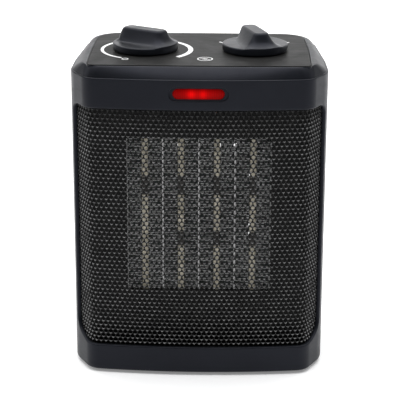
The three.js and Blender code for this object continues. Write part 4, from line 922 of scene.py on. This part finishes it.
DUST_TINT = (0.42, 0.40, 0.37, 1)
# pale grey painted on the grille's upward hole rims as glints
GLINT_GREY = grey(0.42)
DARK_STONE, PALE_STONE, SPECK = (0.40, 0.37, 0.29, 1), (0.58, 0.54, 0.44, 1), (0.28, 0.24, 0.19, 1)
# painted shade of the gaps between the heating stones
GAP_SHADE_TINT = (0.03, 0.028, 0.026, 1)
# copper, and the painted shade of the grooves between its wires
GROOVE_SHADE_COPPER, COPPER_WIRE_TONE = (0.10, 0.03, 0.012, 1), (0.62, 0.24, 0.09, 1)
DIM_GLOW, BRIGHT_GLOW = (0.05, 0.0002, 0.0002, 1), (0.82, 0.0008, 0.0010, 1)
# reds painted paler and darker across the lens's ribs as their shading
RIB_SHADE_RED, RIB_SHEEN_RED = (0.10, 0.0005, 0.0005, 1), (0.18, 0.001, 0.001, 1)
DIM_GAS, BRIGHT_GAS = (1.0, 0.16, 0.02, 1), (1.0, 0.42, 0.12, 1)
DARK_GLASS, PALE_GLASS = (0.7, 0.35, 0.2, 1), (0.9, 0.6, 0.4, 1)
DARK_BRASS, PALE_BRASS = (0.50, 0.33, 0.10, 1), (0.72, 0.52, 0.20, 1)
GRAIN_DEPTH = 0.0001  # in metres, as are the next three
SPECK_DEPTH, WIRE_DEPTH, RIB_DEPTH = 0.0002, 0.0004, 0.0003


def plastic(name, dark, light, gloss, grain=2500.0, depth=0.03, dust=0.0, shine=0.28, **constants):
    """Moulded plastic between two tones, with its gloss between two roughnesses."""
    f = Finish(name, gloss[0], Specular_IOR_Level=shine, **constants)
    grains, marks = f.use(GRAIN, Grain_per_Metre=grain), f.use(MARKS)
    colour = f.mixed(f.ranged(grains["Tone"], 0.35, 0.65), dark, light)
    if dust:
        colour = f.mixed(f.use(DUST, Amount=dust)["Dust"], colour, DUST_TINT)
    worn = f.plus(f.times(marks["Smear"], 0.7), f.times(marks["Rub"], 0.3))
    f.feed(Base_Color=colour, Roughness=f.ranged(worn, 0.35, 0.65, *gloss))
    f.bumped(grains["Height"], depth, GRAIN_DEPTH)
    return f.material


def metal(name, dark, light, gloss, stretch=(1, 1, 1), depth=0.1, metallic=1.0, rim_glint=0.0, **constants):
    """Rolled or painted metal between two tones, with painted glints, a pale grey, on rims that look up
    when a glint amount above 0 is given.
    """
    f = Finish(name, gloss[0], metallic, **constants)
    drawn = f.use(DRAWN, Stretch=stretch)
    share = f.plus(f.times(drawn["Streak"], 0.5), f.times(drawn["Stain"], 0.5))
    colour = f.mixed(f.ranged(share, 0.38, 0.62), dark, light)
    # painted glints: pale grey on the rims that look up
    if rim_glint:
        colour = f.mixed(f.use(RIM_GLINTS, Amount=rim_glint)["Wear"], colour, GLINT_GREY)
    f.feed(Base_Color=colour, Roughness=f.ranged(drawn["Stain"], 0.35, 0.65, *gloss))
    f.bumped(drawn["Height"], depth, GRAIN_DEPTH)
    return f.material


def fired_ceramic():
    """Barium titanate stone with its grey electrode faces: pale, dull and speckled, with painted shade for
    the gaps between stones.
    """
    f = Finish("fired ceramic", 0.7)
    place = f.place()
    speckle = f.noise(place, 700.0, 4.0, 0.7)
    cloud = f.ranged(f.noise(place, 90.0, 3.0), 0.35, 0.65)
    body = f.mixed(cloud, DARK_STONE, PALE_STONE)
    colour = f.mixed(f.ranged(speckle, 0.58, 0.72, 0, 0.7), body, SPECK)
    # Painted shade: dark bands across the stones stand in for the shaded gaps between them; the left column
    # has only the upper band.
    spot = f.parts(f.add("ShaderNodeTexCoord")["Object"])
    beside = f.ranged(spot[0], *LEFT_COLUMN)
    shade_bands = []
    for middle, half in GAP_SHADE_BANDS:
        off = f.size(f.minus(spot[2], middle * MM))
        shade_bands.append(f.ranged(off, (half - GAP_SHADE_FADE) * MM, (half + GAP_SHADE_FADE) * MM, 1, 0))
    gap_shade = f.larger(shade_bands[0], f.times(shade_bands[1], beside))
    colour = f.mixed(gap_shade, colour, GAP_SHADE_TINT)
    f.feed(Base_Color=colour, Roughness=f.ranged(speckle, 0.3, 0.7, 0.55, 0.85))
    f.bumped(speckle, 0.25, SPECK_DEPTH)
    return f.material


def wound_copper():
    """Enamelled wire laid side by side round the limb, with painted shade darkening the copper in the
    grooves between the wires.
    """
    f = Finish("wound copper", 0.35, 0.85, Coat_Weight=0.5)
    wires = f.bands(f.place(), 210.0, Distortion=0.6, Detail=1.0)
    stain = f.use(DRAWN)["Stain"]
    # painted shade: the bands darken the copper between the wires
    share = f.times(wires, f.ranged(stain, 0.3, 0.7, 0.7, 1.0))
    f.feed(Base_Color=f.mixed(share, GROOVE_SHADE_COPPER, COPPER_WIRE_TONE))
    f.feed(Roughness=f.ranged(stain, 0.3, 0.7, 0.28, 0.45))
    f.bumped(wires, 0.8, WIRE_DEPTH)
    return f.material


LAMP_SPOTS = ((-0.0050, 0.0026, 0.62), (0.0032, 0.0022, 0.46), (0.0, 0.0120, 0.42))  # place, width, gain
LAMP_SPOT_HALF, GLOW_BASE = 0.0028, 2.718  # half height of the glow, and the base of its fall


def lit_lens():
    """Red lens with the neon behind it: brightest at two spots, and dark towards its ends."""
    f = Finish("lit red lens", 0.3, Specular_IOR_Level=0.03, Emission_Strength=1.0)
    place = f.add("ShaderNodeTexCoord")["Object"]
    at = f.parts(place)
    glow = []
    for spot, width, gain in LAMP_SPOTS:
        off, rise = f.over(f.minus(at[0], spot), width), f.over(f.minus(at[2], LAMP_Z * MM), LAMP_SPOT_HALF)
        square = f.plus(f.times(off, off), f.times(rise, rise))
        glow.append(f.times(f.power(GLOW_BASE, f.times(square, -1.0)), gain))
    ribs = f.bands(place, 260.0)
    lit = f.times(f.plus(f.plus(glow[0], glow[1]), glow[2]), f.ranged(ribs, 0, 1, 0.88, 1.0))
    glowing = f.mixed(f.ranged(lit, 0, 1), DIM_GLOW, BRIGHT_GLOW)
    # painted shading: the base red turns paler and darker across the ribs
    dull = f.mixed(ribs, RIB_SHADE_RED, RIB_SHEEN_RED)
    f.feed(Emission_Color=glowing, Base_Color=dull)
    f.bumped(ribs, 0.15, RIB_DEPTH)
    return f.material


def neon_glass():
    f = Finish("neon glass", 0.05, Coat_Weight=1.0, Emission_Strength=2.5)
    gas = f.noise(f.place(), 160.0)
    f.feed(Emission_Color=f.mixed(gas, DIM_GAS, BRIGHT_GAS))
    f.feed(Base_Color=f.mixed(gas, DARK_GLASS, PALE_GLASS))
    return f.material


def printing_ink():
    """Pad-printed white ink, thin enough to show a little of the panel."""
    f = Finish("printing ink", 0.5)
    cover = f.noise(f.place(), 900.0, 3.0)
    f.feed(Base_Color=f.mixed(f.ranged(cover, 0.3, 0.6), grey(0.55), grey(0.86)))
    f.feed(Roughness=f.ranged(cover, 0.3, 0.7, 0.4, 0.6))
    return f.material


COOL = (0.80, 0.82, 1.0, 1)  # tint of reflections in the blue-black plastics
DARK_CASING, LIGHT_CASING = grey(0.0055, 0.14), grey(0.0082, 0.14)
DARK_KNOB, LIGHT_KNOB = grey(0.008, 0.12), grey(0.013, 0.12)
CASING = plastic(
    "casing plastic", DARK_CASING, LIGHT_CASING, (0.34, 0.44), 2600, 0.05, 0.02, 0.20, Specular_Tint=COOL
)
PANEL = plastic("panel plastic", grey(0.0090), grey(0.0125), (0.42, 0.54), 3200, 0.06, 0.02, 0.065)
KNOB = plastic(
    "dial plastic", DARK_KNOB, LIGHT_KNOB, (0.30, 0.42), 3000, 0.05, 0.03, 0.19, Specular_Tint=COOL
)
DUCT = plastic("duct plastic", grey(0.006), grey(0.010), (0.5, 0.65), 1500, 0.1, 0.1)
WHITE = plastic("white plastic", grey(0.66), grey(0.78), (0.38, 0.5), 2000, 0.03, 0.1)
RUBBER = plastic("foot rubber", grey(0.010), grey(0.022), (0.75, 0.9), 1200, 0.2)
# the grille's hole rims that look up get painted glints, a pale grey
GRILLE = metal(
    *("grille enamel", grey(0.0020), grey(0.0040), (0.22, 0.30)),
    depth=0.05,
    metallic=0.0,
    rim_glint=0.70,
    Specular_IOR_Level=0.3,
)
FINS = metal("fin aluminium", grey(0.50), grey(0.72), (0.30, 0.45), (1, 1, 0.1), 0.12)
PLATES = metal("plate aluminium", grey(0.34), grey(0.50), (0.35, 0.5), (1, 1, 0.1), 0.12)
STEEL = metal("plated steel", grey(0.38), grey(0.58), (0.25, 0.4), (0.1, 1, 1), 0.08)
BRASS = metal("turned brass", DARK_BRASS, PALE_BRASS, (0.2, 0.36), (1, 1, 0.1), 0.08)
COPPER = wound_copper()
CERAMIC = fired_ceramic()
LENS = lit_lens()
GLASS = neon_glass()
INK = printing_ink()


# ---- front casing
def grille_opening():
    """The grille opening in length and height: it runs round onto the canted facets."""
    right = []
    for (across, up), level, side, steps in (
        (GRILLE_LOW_CORNER, GRILLE_BOTTOM, 1, 10),
        (GRILLE_HIGH_CORNER, GRILLE_TOP, -1, 7),
    ):
        for step in range(steps + 1):
            a = QUARTER_TURN * (step / steps - (side > 0))
            depth = GRILLE_SIDE_DEPTH - across + across * math.cos(a)
            length = float(body_plan.length_at_depth(depth, body_plan.marks[FRONT_BEND]))
            right.append((length, level + side * up * (1 - abs(math.sin(a)))))
    return np.array(subdivided(right + [(-s, z) for s, z in reversed(right)], GRILLE_SPACING))


def oblong(size, middle, arc_steps=10, runs=12):
    """A slot with round ends, anticlockwise, with the same number of points whatever its size."""
    length, height = size
    radius = height / 2
    reach = length / 2 - radius
    cx, cy = middle
    points = []
    for side, start in ((1, -90), (-1, 90)):
        for step in range(arc_steps + 1):
            a = math.radians(start + 180 * step / arc_steps)
            points.append((cx + side * reach + radius * math.cos(a), cy + radius * math.sin(a)))
        for run in range(1, runs):
            points.append((cx + side * reach * (1 - 2 * run / runs), cy + side * radius))
    return np.array(points)


def lamp_bezel():
    """A shallow oblong recess, with the lens's window in its floor."""
    outline, window = (oblong(size, (0, LAMP_Z)) for size in (BEZEL, WINDOW))
    rings = [on_wall(*lip) for lip in lip_rings(outline, BEZEL_EDGE, 3)]
    rings += [on_wall(line, BEZEL_DEEP) for line in (outline, window)]
    return {"outer": grown(outline, BEZEL_EDGE), "inner": window, "rings": rings}


def make_front_casing():
    split = body_plan.marks[SPLIT_MARK]
    openings = [wall_opening(grille_opening(), GRILLE_EDGE), lamp_bezel()]
    piece = casing_shell("front_shell", -split, split, openings, -1)
    finish_piece(piece, CASING, "housing", ["front_casing"])


# ---- rear casing
def intake_slots():
    rows = range(SLOT_COUNT)
    middles = [(x, SLOT_LOW_Z + SLOT_PITCH * row) for x in (-SLOT_X, SLOT_X) for row in rows]
    outlines = [rounded_box(*SLOT_SIZE, SLOT_CORNER, middle, 4, 2.5) for middle in middles]
    return [facing_back(outline, SLOT_EDGE, [], 0.0) for outline in outlines]


def screw_socket(x, z):
    """A deep round well that leads to a casing screw, with its boss on the inside."""
    bore, front = -SOCKET_BORE_LESS, SPLIT_DEPTH + SPLIT_GAP / 2
    tunnel = [(0.0, SOCKET_SEAT), (bore, SOCKET_SEAT), (bore, front), (SOCKET_WALL, front)]
    return facing_back(circle(SOCKET_RADIUS, (x, z)), SOCKET_EDGE, tunnel, SOCKET_WALL)


def carrying_recess():
    """A pocket for the fingers: inside face first, then the face that shows inside the casing."""
    outline = rounded_box(*RECESS_SIZE, RECESS_CORNER, (0, RECESS_Z), 7, 3.0)
    mouth, floor = DEPTH - RECESS_MOUTH, DEPTH - RECESS_DEEP
    tunnel = [(0.0, mouth), (0.0, floor + 3), (-0.9, floor + 0.9), (-3.0, floor)]
    hole = facing_back(outline, RECESS_EDGE, tunnel, WALL)
    around = grown(outline, WALL)
    hole["outside"] = [
        np.column_stack((around[:, 0], np.full(len(around), at_depth(depth)), around[:, 1]))
        for depth in (mouth, floor - WALL)
    ]
    return hole


def cord_inlet():
    outline = circle(INLET_RADIUS, INLET_PLACE, 32)
    end = DEPTH - INLET_DEEP
    return facing_back(outline, INLET_EDGE, [(0.0, end), (INLET_WALL, end)], INLET_WALL)


def make_rear_casing():
    split, total = body_plan.marks[SPLIT_MARK], body_plan.lengths[-1]
    sockets = [screw_socket(x, z) for x in (-SOCKET_X, SOCKET_X) for z in SOCKET_HEIGHTS]
    holes = intake_slots() + sockets + [cord_inlet(), carrying_recess()]
    piece = casing_shell("rear_shell", split, 2 * total - split, holes, 1)
    finish_piece(piece, CASING, "housing", ["rear_casing"])


# ---- grille
def grille_cell():
    """A six-sided ring round one hole, in X and Z; the hole's edge is rolled back by the dish."""
    corner_turn, hole_turn = 360 / 6, 360 / HOLE_SIDES
    corners = [math.radians(corner_turn * k) for k in range(6)]
    hole = [math.radians(hole_turn * (k + 0.5)) for k in range(HOLE_SIDES)]
    reach, radius = HOLE_PITCH / math.sqrt(3), HOLE_WIDTH / 2
    points = [(reach * math.sin(a), 0.0, reach * math.cos(a)) for a in corners]
    points += [(radius * math.sin(a), HOLE_DISH, radius * math.cos(a)) for a in hole]
    faces = []
    outer, inner = 0, 0
    while outer < 6 or inner < HOLE_SIDES:
        next_corner = corner_turn * (outer + 0.5)
        next_hole = hole_turn * (inner + 1)
        a, b = outer % 6, 6 + inner % HOLE_SIDES
        if outer < 6 and (next_corner <= next_hole or inner == HOLE_SIDES):
            outer += 1
            faces.append((a, b, outer % 6))
        else:
            inner += 1
            faces.append((a, b, 6 + inner % HOLE_SIDES))
    return points, faces


def line_object(points):
    curve = bpy.data.curves.new("grille line", "CURVE")
    curve.dimensions = "3D"
    spline = curve.splines.new("POLY")
    spline.points.add(len(points) - 1)
    for point, place in zip(spline.points, points * MM):
        point.co = (*place, 1)
    line = bpy.data.objects.new("grille_line", curve)
    bpy.context.scene.collection.objects.link(line)
    return line


def make_grille():
    piece = new_object("perforated_front", *grille_cell())
    if sum(p.normal.y for p in piece.data.polygons) > 0:
        piece.data.flip_normals()
    reach = float(body_plan.length_at_depth(GRILLE_END_DEPTH, body_plan.marks[FRONT_BEND]))
    points = on_wall(level(np.linspace(-reach, reach, GRILLE_LINE_POINTS), 0.0), WALL + SEAM)
    line = line_object(points)
    values = {
        "Plan Line": line,
        "Middle Length": float(np.sum(np.linalg.norm(np.diff(points, axis=0), axis=1))) / 2 * MM,
        "Middle Height": GRILLE_MIDDLE_Z * MM,
        "Hole Pitch": HOLE_PITCH * MM,
        "Row Pitch": HOLE_PITCH * math.sqrt(3) / 2 * MM,
        "Columns": HOLE_COLUMNS,
        "Rows": HOLE_ROWS,
        "Thickness": GRILLE_THICK * MM,
        "Finish": GRILLE,
    }
    made_by_nodes(piece, perforated_sheet_tree(), values)
    bpy.data.objects.remove(line)
    finish_piece(piece, None, "housing", ["front_grille"], sharp=62.0, weighted=False)


# ---- control panel
def make_panel():
    """The flat plate let into the top, with its edge eased and a hole for each dial's bush."""
    total = panel_plan.lengths[-1]
    places, normals = panel_plan.at(np.arange(-total, total, PANEL_SPACING))
    holes = [circle(BUSH_HOLE, (x, at_depth(DIAL_DEPTH)), 28) for x in (-DIAL_X, DIAL_X)]
    flat, faces, numbers = sheet_with_holes(places - normals * PANEL_EDGE, holes, *PANEL_GRID, 1.5)
    plate = Body()
    top = plate.ring(level(flat, TOP_Z))
    low = flat.copy()
    low[numbers[0]] = places
    under = plate.ring(level(low, TOP_Z - PANEL_THICK))
    plate.faces += [tuple(top[i] for i in f) for f in faces]
    plate.faces += [tuple(under[i] for i in f[::-1]) for f in faces]
    rings = []
    for turn in map(math.radians, PANEL_EDGE_TURNS):
        spot = places - normals * PANEL_EDGE * (1 - math.sin(turn))
        rings.append(plate.ring(level(spot, TOP_Z - PANEL_EDGE * (1 - math.cos(turn)))))
    edge, foot = ([ring[i] for i in numbers[0]] for ring in (top, under))
    plate.strips([edge] + rings + [foot], closed=True)
    for ring in numbers[1:]:
        plate.strips([[top[i] for i in ring], [under[i] for i in ring]], closed=True)
    piece = closed_object("panel_plate", plate.points, plate.faces)
    finish_piece(piece, PANEL, "housing", ["control_panel"])


def printed_band(body, inner, outer):
    """A thin closed band of ink on the panel between two lines of points."""
    low = TOP_Z + INK_LIFT
    high = low + INK_THICK
    edges = ((inner, low), (inner, high), (outer, high), (outer, low))
    rings = [body.ring(level(line, z)) for line, z in edges]
    body.strips(rings + [rings[0]])
    for end in (0, -1):
        body.face([r[end] for r in rings])


def arc(middle, radii, degrees, count):
    """Points round a middle; 0 degrees is towards +X, and the radius changes evenly along it."""
    angles = np.radians(np.linspace(*degrees, count))
    radius = np.linspace(*radii, count)
    return np.column_stack((middle[0] + radius * np.cos(angles), middle[1] + radius * np.sin(angles)))


def make_printing():
    ink = Body()
    left, right = ((x, at_depth(DIAL_DEPTH)) for x in (-DIAL_X, DIAL_X))
    # The heat scale swells as it runs clockwise from the off mark to the hottest setting.
    printed_band(ink, *(arc(left, radii, SCALE_SWEEP, 120) for radii in (SCALE_INNER, SCALE_OUTER)))
    for (x, depth), radius in ((OFF_MARK, 2.5), (RING_SYMBOL, 5.5)):
        middle = (x, at_depth(depth))
        printed_band(ink, *(arc(middle, (r, r), (0, 360), 49) for r in (radius - RING_WIDTH, radius)))
    for dx, dy, length, tilt in SYMBOL_STROKES:
        c, s = math.cos(math.radians(tilt)), math.sin(math.radians(tilt))
        along, across = np.array((c, s)) * length / 2, np.array((-s, c)) * STROKE_WIDTH / 2
        spot = np.array((RING_SYMBOL[0] + dx, at_depth(RING_SYMBOL[1]) + dy))
        edges = [spot - across, spot + across]
        printed_band(ink, *([edge - along, edge + along] for edge in edges))
    for angle, bars in SELECTOR_MARKS:
        for k in range(bars):
            turn = angle + (k - (bars - 1) / 2) * BAR_GAP
            ends = (turn - BAR_HALF, turn + BAR_HALF)
            printed_band(ink, *(arc(right, (r, r), ends, 3) for r in BAR_REACH))
    piece = closed_object("panel_printing", ink.points, ink.faces)
    finish_piece(piece, INK, "housing", weighted=False)


# ---- dials
DIAL_ANGLES = np.linspace(0, 2 * math.pi, DIAL_POINTS, endpoint=False)


def blade_section(rear, front, width, fan, z, less=0.0):
    """An oblong outline that fans out towards the front end, kept within the skirt."""
    half_width = width / 2 - less
    shift = np.sin(np.clip(np.cos(DIAL_ANGLES) / BLADE_END, -1, 1) * QUARTER_TURN)
    reach = (front + rear) / 2 - less - half_width
    px = (front - rear) / 2 + reach * shift + half_width * np.cos(DIAL_ANGLES)
    py = half_width * np.sign(np.sin(DIAL_ANGLES)) * np.abs(np.sin(DIAL_ANGLES)) ** BLADE_CORNER
    py = py * (1 + fan * px / DIAL_RADIUS)
    far = np.maximum(np.hypot(px, py) / DIAL_RADIUS, 1.0)
    return level(np.column_stack((px / far, py / far)), z)


def blade_spread(h, height):
    """Rear and front reach, width and fan of the blade at a height above the deck."""
    share = 1 - h / height
    spread = [
        top + flare * share**power + fillet * math.exp(-h / rise)
        for top, flare, power, fillet, rise in (BLADE_REAR, BLADE_FRONT, BLADE_WIDTH)
    ]
    return *spread, BLADE_FAN * share**BLADE_FAN_POWER


def make_dial(name, x, turn):
    """A round skirt with a blade to grip, which flares out to the skirt at its foot."""
    bottom, top = TOP_Z + DIAL_LIFT, TOP_Z + DIAL_HEIGHT
    deck = bottom + SKIRT_HEIGHT
    height = top - deck
    turns = [QUARTER_TURN * step / 5 for step in range(6)]
    lines = []
    for a in turns:
        drop = BLADE_EASE * (1 - math.cos(a))
        less = BLADE_EASE * (1 - math.sin(a))
        lines.append(blade_section(*blade_spread(height - drop, height), top - drop, less))
    lines += [blade_section(*blade_spread(h, height), deck + h) for h in BLADE_LEVELS]
    foot = lines[-1][:, :2]
    size = np.hypot(foot[:, 0], foot[:, 1])
    direction = foot / size[:, None]

    def round_the_axis(far, z):
        lines.append(level(direction * np.reshape(far, (-1, 1)), z))

    for share in (0.25, 0.6):
        round_the_axis(size + (np.maximum(size, DIAL_RADIUS - SKIRT_EASE) - size) * share, deck)
    for a in turns:
        goal = DIAL_RADIUS - SKIRT_EASE * (1 - math.sin(a))
        reached = np.clip(goal, size.clip(max=DIAL_RADIUS), DIAL_RADIUS)
        round_the_axis(reached, deck - SKIRT_EASE * (1 - math.cos(a)))
    less, rise = SKIRT_FOOT
    for share in (0.0, 0.5, 1.0):
        round_the_axis(DIAL_RADIUS - less * share, bottom + rise * (1 - share))
    inner, roof = DIAL_RADIUS - DIAL_WALL, deck - DIAL_ROOF
    for far, z in ((inner, bottom), (inner, roof), (DIAL_BORE, roof), (DIAL_BORE, top - DIAL_BORE_TOP)):
        round_the_axis(far, z)
    c, s = math.cos(math.radians(turn)), math.sin(math.radians(turn))
    centre = (x, at_depth(DIAL_DEPTH), 0)
    turned = [line @ np.array(((c, s, 0), (-s, c, 0), (0, 0, 1))) + centre for line in lines]
    piece = capped_object(f"{name}_grip", turned)
    finish_piece(piece, KNOB, f"{name}_dial", [f"{name}_knob"], sharp=50.0)


# ---- indicator lamp
def make_lens():
    """A slim domed lens that fills the window in the bezel."""
    outline, flange = (oblong(size, (0, LAMP_Z)) for size in (LENS_SIZE, LENS_FLANGE))
    back = [(flange, FLANGE_BACK), (flange, FLANGE_FRONT), (outline, FLANGE_FRONT)]
    dome = []
    for shrink, sunk in LENS_DOME:
        dome.append((oblong([length - 2 * shrink for length in LENS_SIZE], (0, LAMP_Z)), sunk))
    piece = capped_object("lamp_window", [on_wall(line, sunk) for line, sunk in back + dome])
    finish_piece(piece, LENS, "housing", ["lamp_lens"])


# ---- heating element
def make_fins():
    tree = folded_fin_tree()
    for number in range(1, 9):
        low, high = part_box(f"ptc_fin_block_{number}")
        piece = new_object(f"fin_ribbon_{number}", [(0, 0, 0), (1, 0, 0), (0, 1, 0)], [(0, 1, 2)])
        values = {
            "Low Corner": tuple(low),
            "Width": high.x - low.x - FIN_SIDE_GAP,
            "Depth": high.y - low.y,
            "Height": high.z - low.z - FIN_END_GAP,
            "Folds": FIN_FOLDS,
            "Thickness": FIN_METRES,
            "Finish": FINS,
        }
        made_by_nodes(piece, tree, values)
        replaced = [f"ptc_fin_block_{number}"]
        finish_piece(piece, None, "housing", replaced, weighted=False)


# ---- parts kept from the CAD model
CAD_FINISHES = (
    (CERAMIC, ("ptc_stone_strip",)),
    (PLATES, ("ptc_wall_plate",)),
    (DUCT, ("ptc_top_rail", "ptc_bottom_rail", "air_duct", "fan_impeller")),
    (COPPER, ("motor_coil",)),
    (STEEL, ("motor_rotor", "motor_stator", "motor_front", "motor_rear", "fan_shaft")),
    (STEEL, ("motor_screw", "casing_screw", "duct_screw", "thermal_cutout", "tip_spring")),
    (STEEL, ("thermostat_spindle", "selector_spindle")),
    (RUBBER, ("foot_",)),
    (BRASS, ("thermostat_nut", "selector_nut")),
    (WHITE, ("thermostat_body", "selector_body", "lamp_holder", "thermal_fuse")),
    (WHITE, ("terminal_block", "tip_switch_body", "tip_plunger")),
    (GLASS, ("neon_lamp",)),
)


def finish_cad_parts():
    for name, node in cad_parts.items():
        for finish, starts in CAD_FINISHES:
            if name.startswith(starts):
                for place in node.material_slots:
                    place.material = finish


# ---- stage, lights and camera
def make_stage():
    """A pale floor that curves up into a backdrop."""
    near, bend, radius, high, half = -3.0, 1.6, 0.8, 3.5, 4.0
    line = [(near, 0.0), (bend, 0.0)]
    for a in np.linspace(0, QUARTER_TURN, 12)[1:]:
        line.append((bend + radius * math.sin(a), radius * (1 - math.cos(a))))
    line.append((bend + radius, high))
    points = [(x, y, z) for y, z in line for x in (-half, half)]
    faces = [(2 * i, 2 * i + 1, 2 * i + 3, 2 * i + 2) for i in range(len(line) - 1)]
    mesh = bpy.data.meshes.new("floor")
    mesh.from_pydata(points, [], faces)
    mesh.shade_smooth()
    floor = bpy.data.objects.new("floor", mesh)
    bpy.context.scene.collection.objects.link(floor)
    paper = Finish("pale paper", 0.9, Base_Color=(0.93, 0.93, 0.93, 1))
    paper.feed(Emission_Color=(1, 1, 1, 1), Emission_Strength=0.2)
    mesh.materials.append(paper.material)


def softbox(name, place, aim, size, power):
    light = bpy.data.lights.new(name, "AREA")
    light.shape = "RECTANGLE"
    light.size, light.size_y = size
    light.energy = power
    lamp = bpy.data.objects.new(name, light)
    lamp.location = place
    lamp.rotation_euler = (Vector(aim) - Vector(place)).to_track_quat("-Z", "Y").to_euler()
    bpy.context.scene.collection.objects.link(lamp)


FILL_Y, ELEMENT_METRES = at_depth(17) * MM, ELEMENT_Z * MM
LIGHTS = (  # name, place, aim, size in metres, and power in watts
    ("overhead", (0, 0.2, 1.7), (0, 0.12, 0), (2.2, 2.2), 50),
    ("left box", (-1.5, 0.0, 0.9), (0, 0, 0.15), (0.7, 1.5), 6),
    ("right box", (1.5, 0.0, 0.9), (0, 0, 0.15), (0.7, 1.5), 4),
    ("element fill", (0, FILL_Y, ELEMENT_METRES), (0, 0, ELEMENT_METRES), (0.098, 0.112), 0.0085),
    ("backdrop wash", (0, 0.9, 1.6), (0, 2.4, 0.9), (2.6, 0.8), 24),
)
SKY_COLOUR, SKY_STRENGTH = (0.95, 0.97, 1.0, 1), 0.22


def make_lights():
    world = bpy.data.worlds.new("studio")
    world.use_nodes = True
    colour, strength = world.node_tree.nodes["Background"].inputs[:2]
    colour.default_value, strength.default_value = SKY_COLOUR, SKY_STRENGTH
    bpy.context.scene.world = world
    for light in LIGHTS:
        softbox(*light)
    bpy.context.scene.view_settings.view_transform = "Standard"


CAMERA_PLACE, CAMERA_LENS = (0.0197, -1.1098, 0.4836), 142.3
CAMERA_TURNS = ((1.011, "Z"), (90 - 18.5, "X"), (0.2, "Z"))  # swing, tilt and roll in degrees


def make_camera():
    camera = bpy.data.cameras.new("camera")
    camera.sensor_width, camera.lens = 36.0, CAMERA_LENS
    eye = bpy.data.objects.new("camera", camera)
    pose = Matrix.Translation(CAMERA_PLACE)
    for degrees, axis in CAMERA_TURNS:
        pose = pose @ Matrix.Rotation(math.radians(degrees), 4, axis)
    eye.matrix_world = pose
    bpy.context.scene.collection.objects.link(eye)
    bpy.context.scene.camera = eye


make_camera()
make_lights()
make_stage()
finish_cad_parts()
make_front_casing()
make_rear_casing()
make_grille()
make_panel()
make_printing()
for dial_name, dial_x in (("thermostat", -DIAL_X), ("selector", DIAL_X)):
    make_dial(dial_name, dial_x, DIAL_TURNS[dial_name])
make_lens()
make_fins()
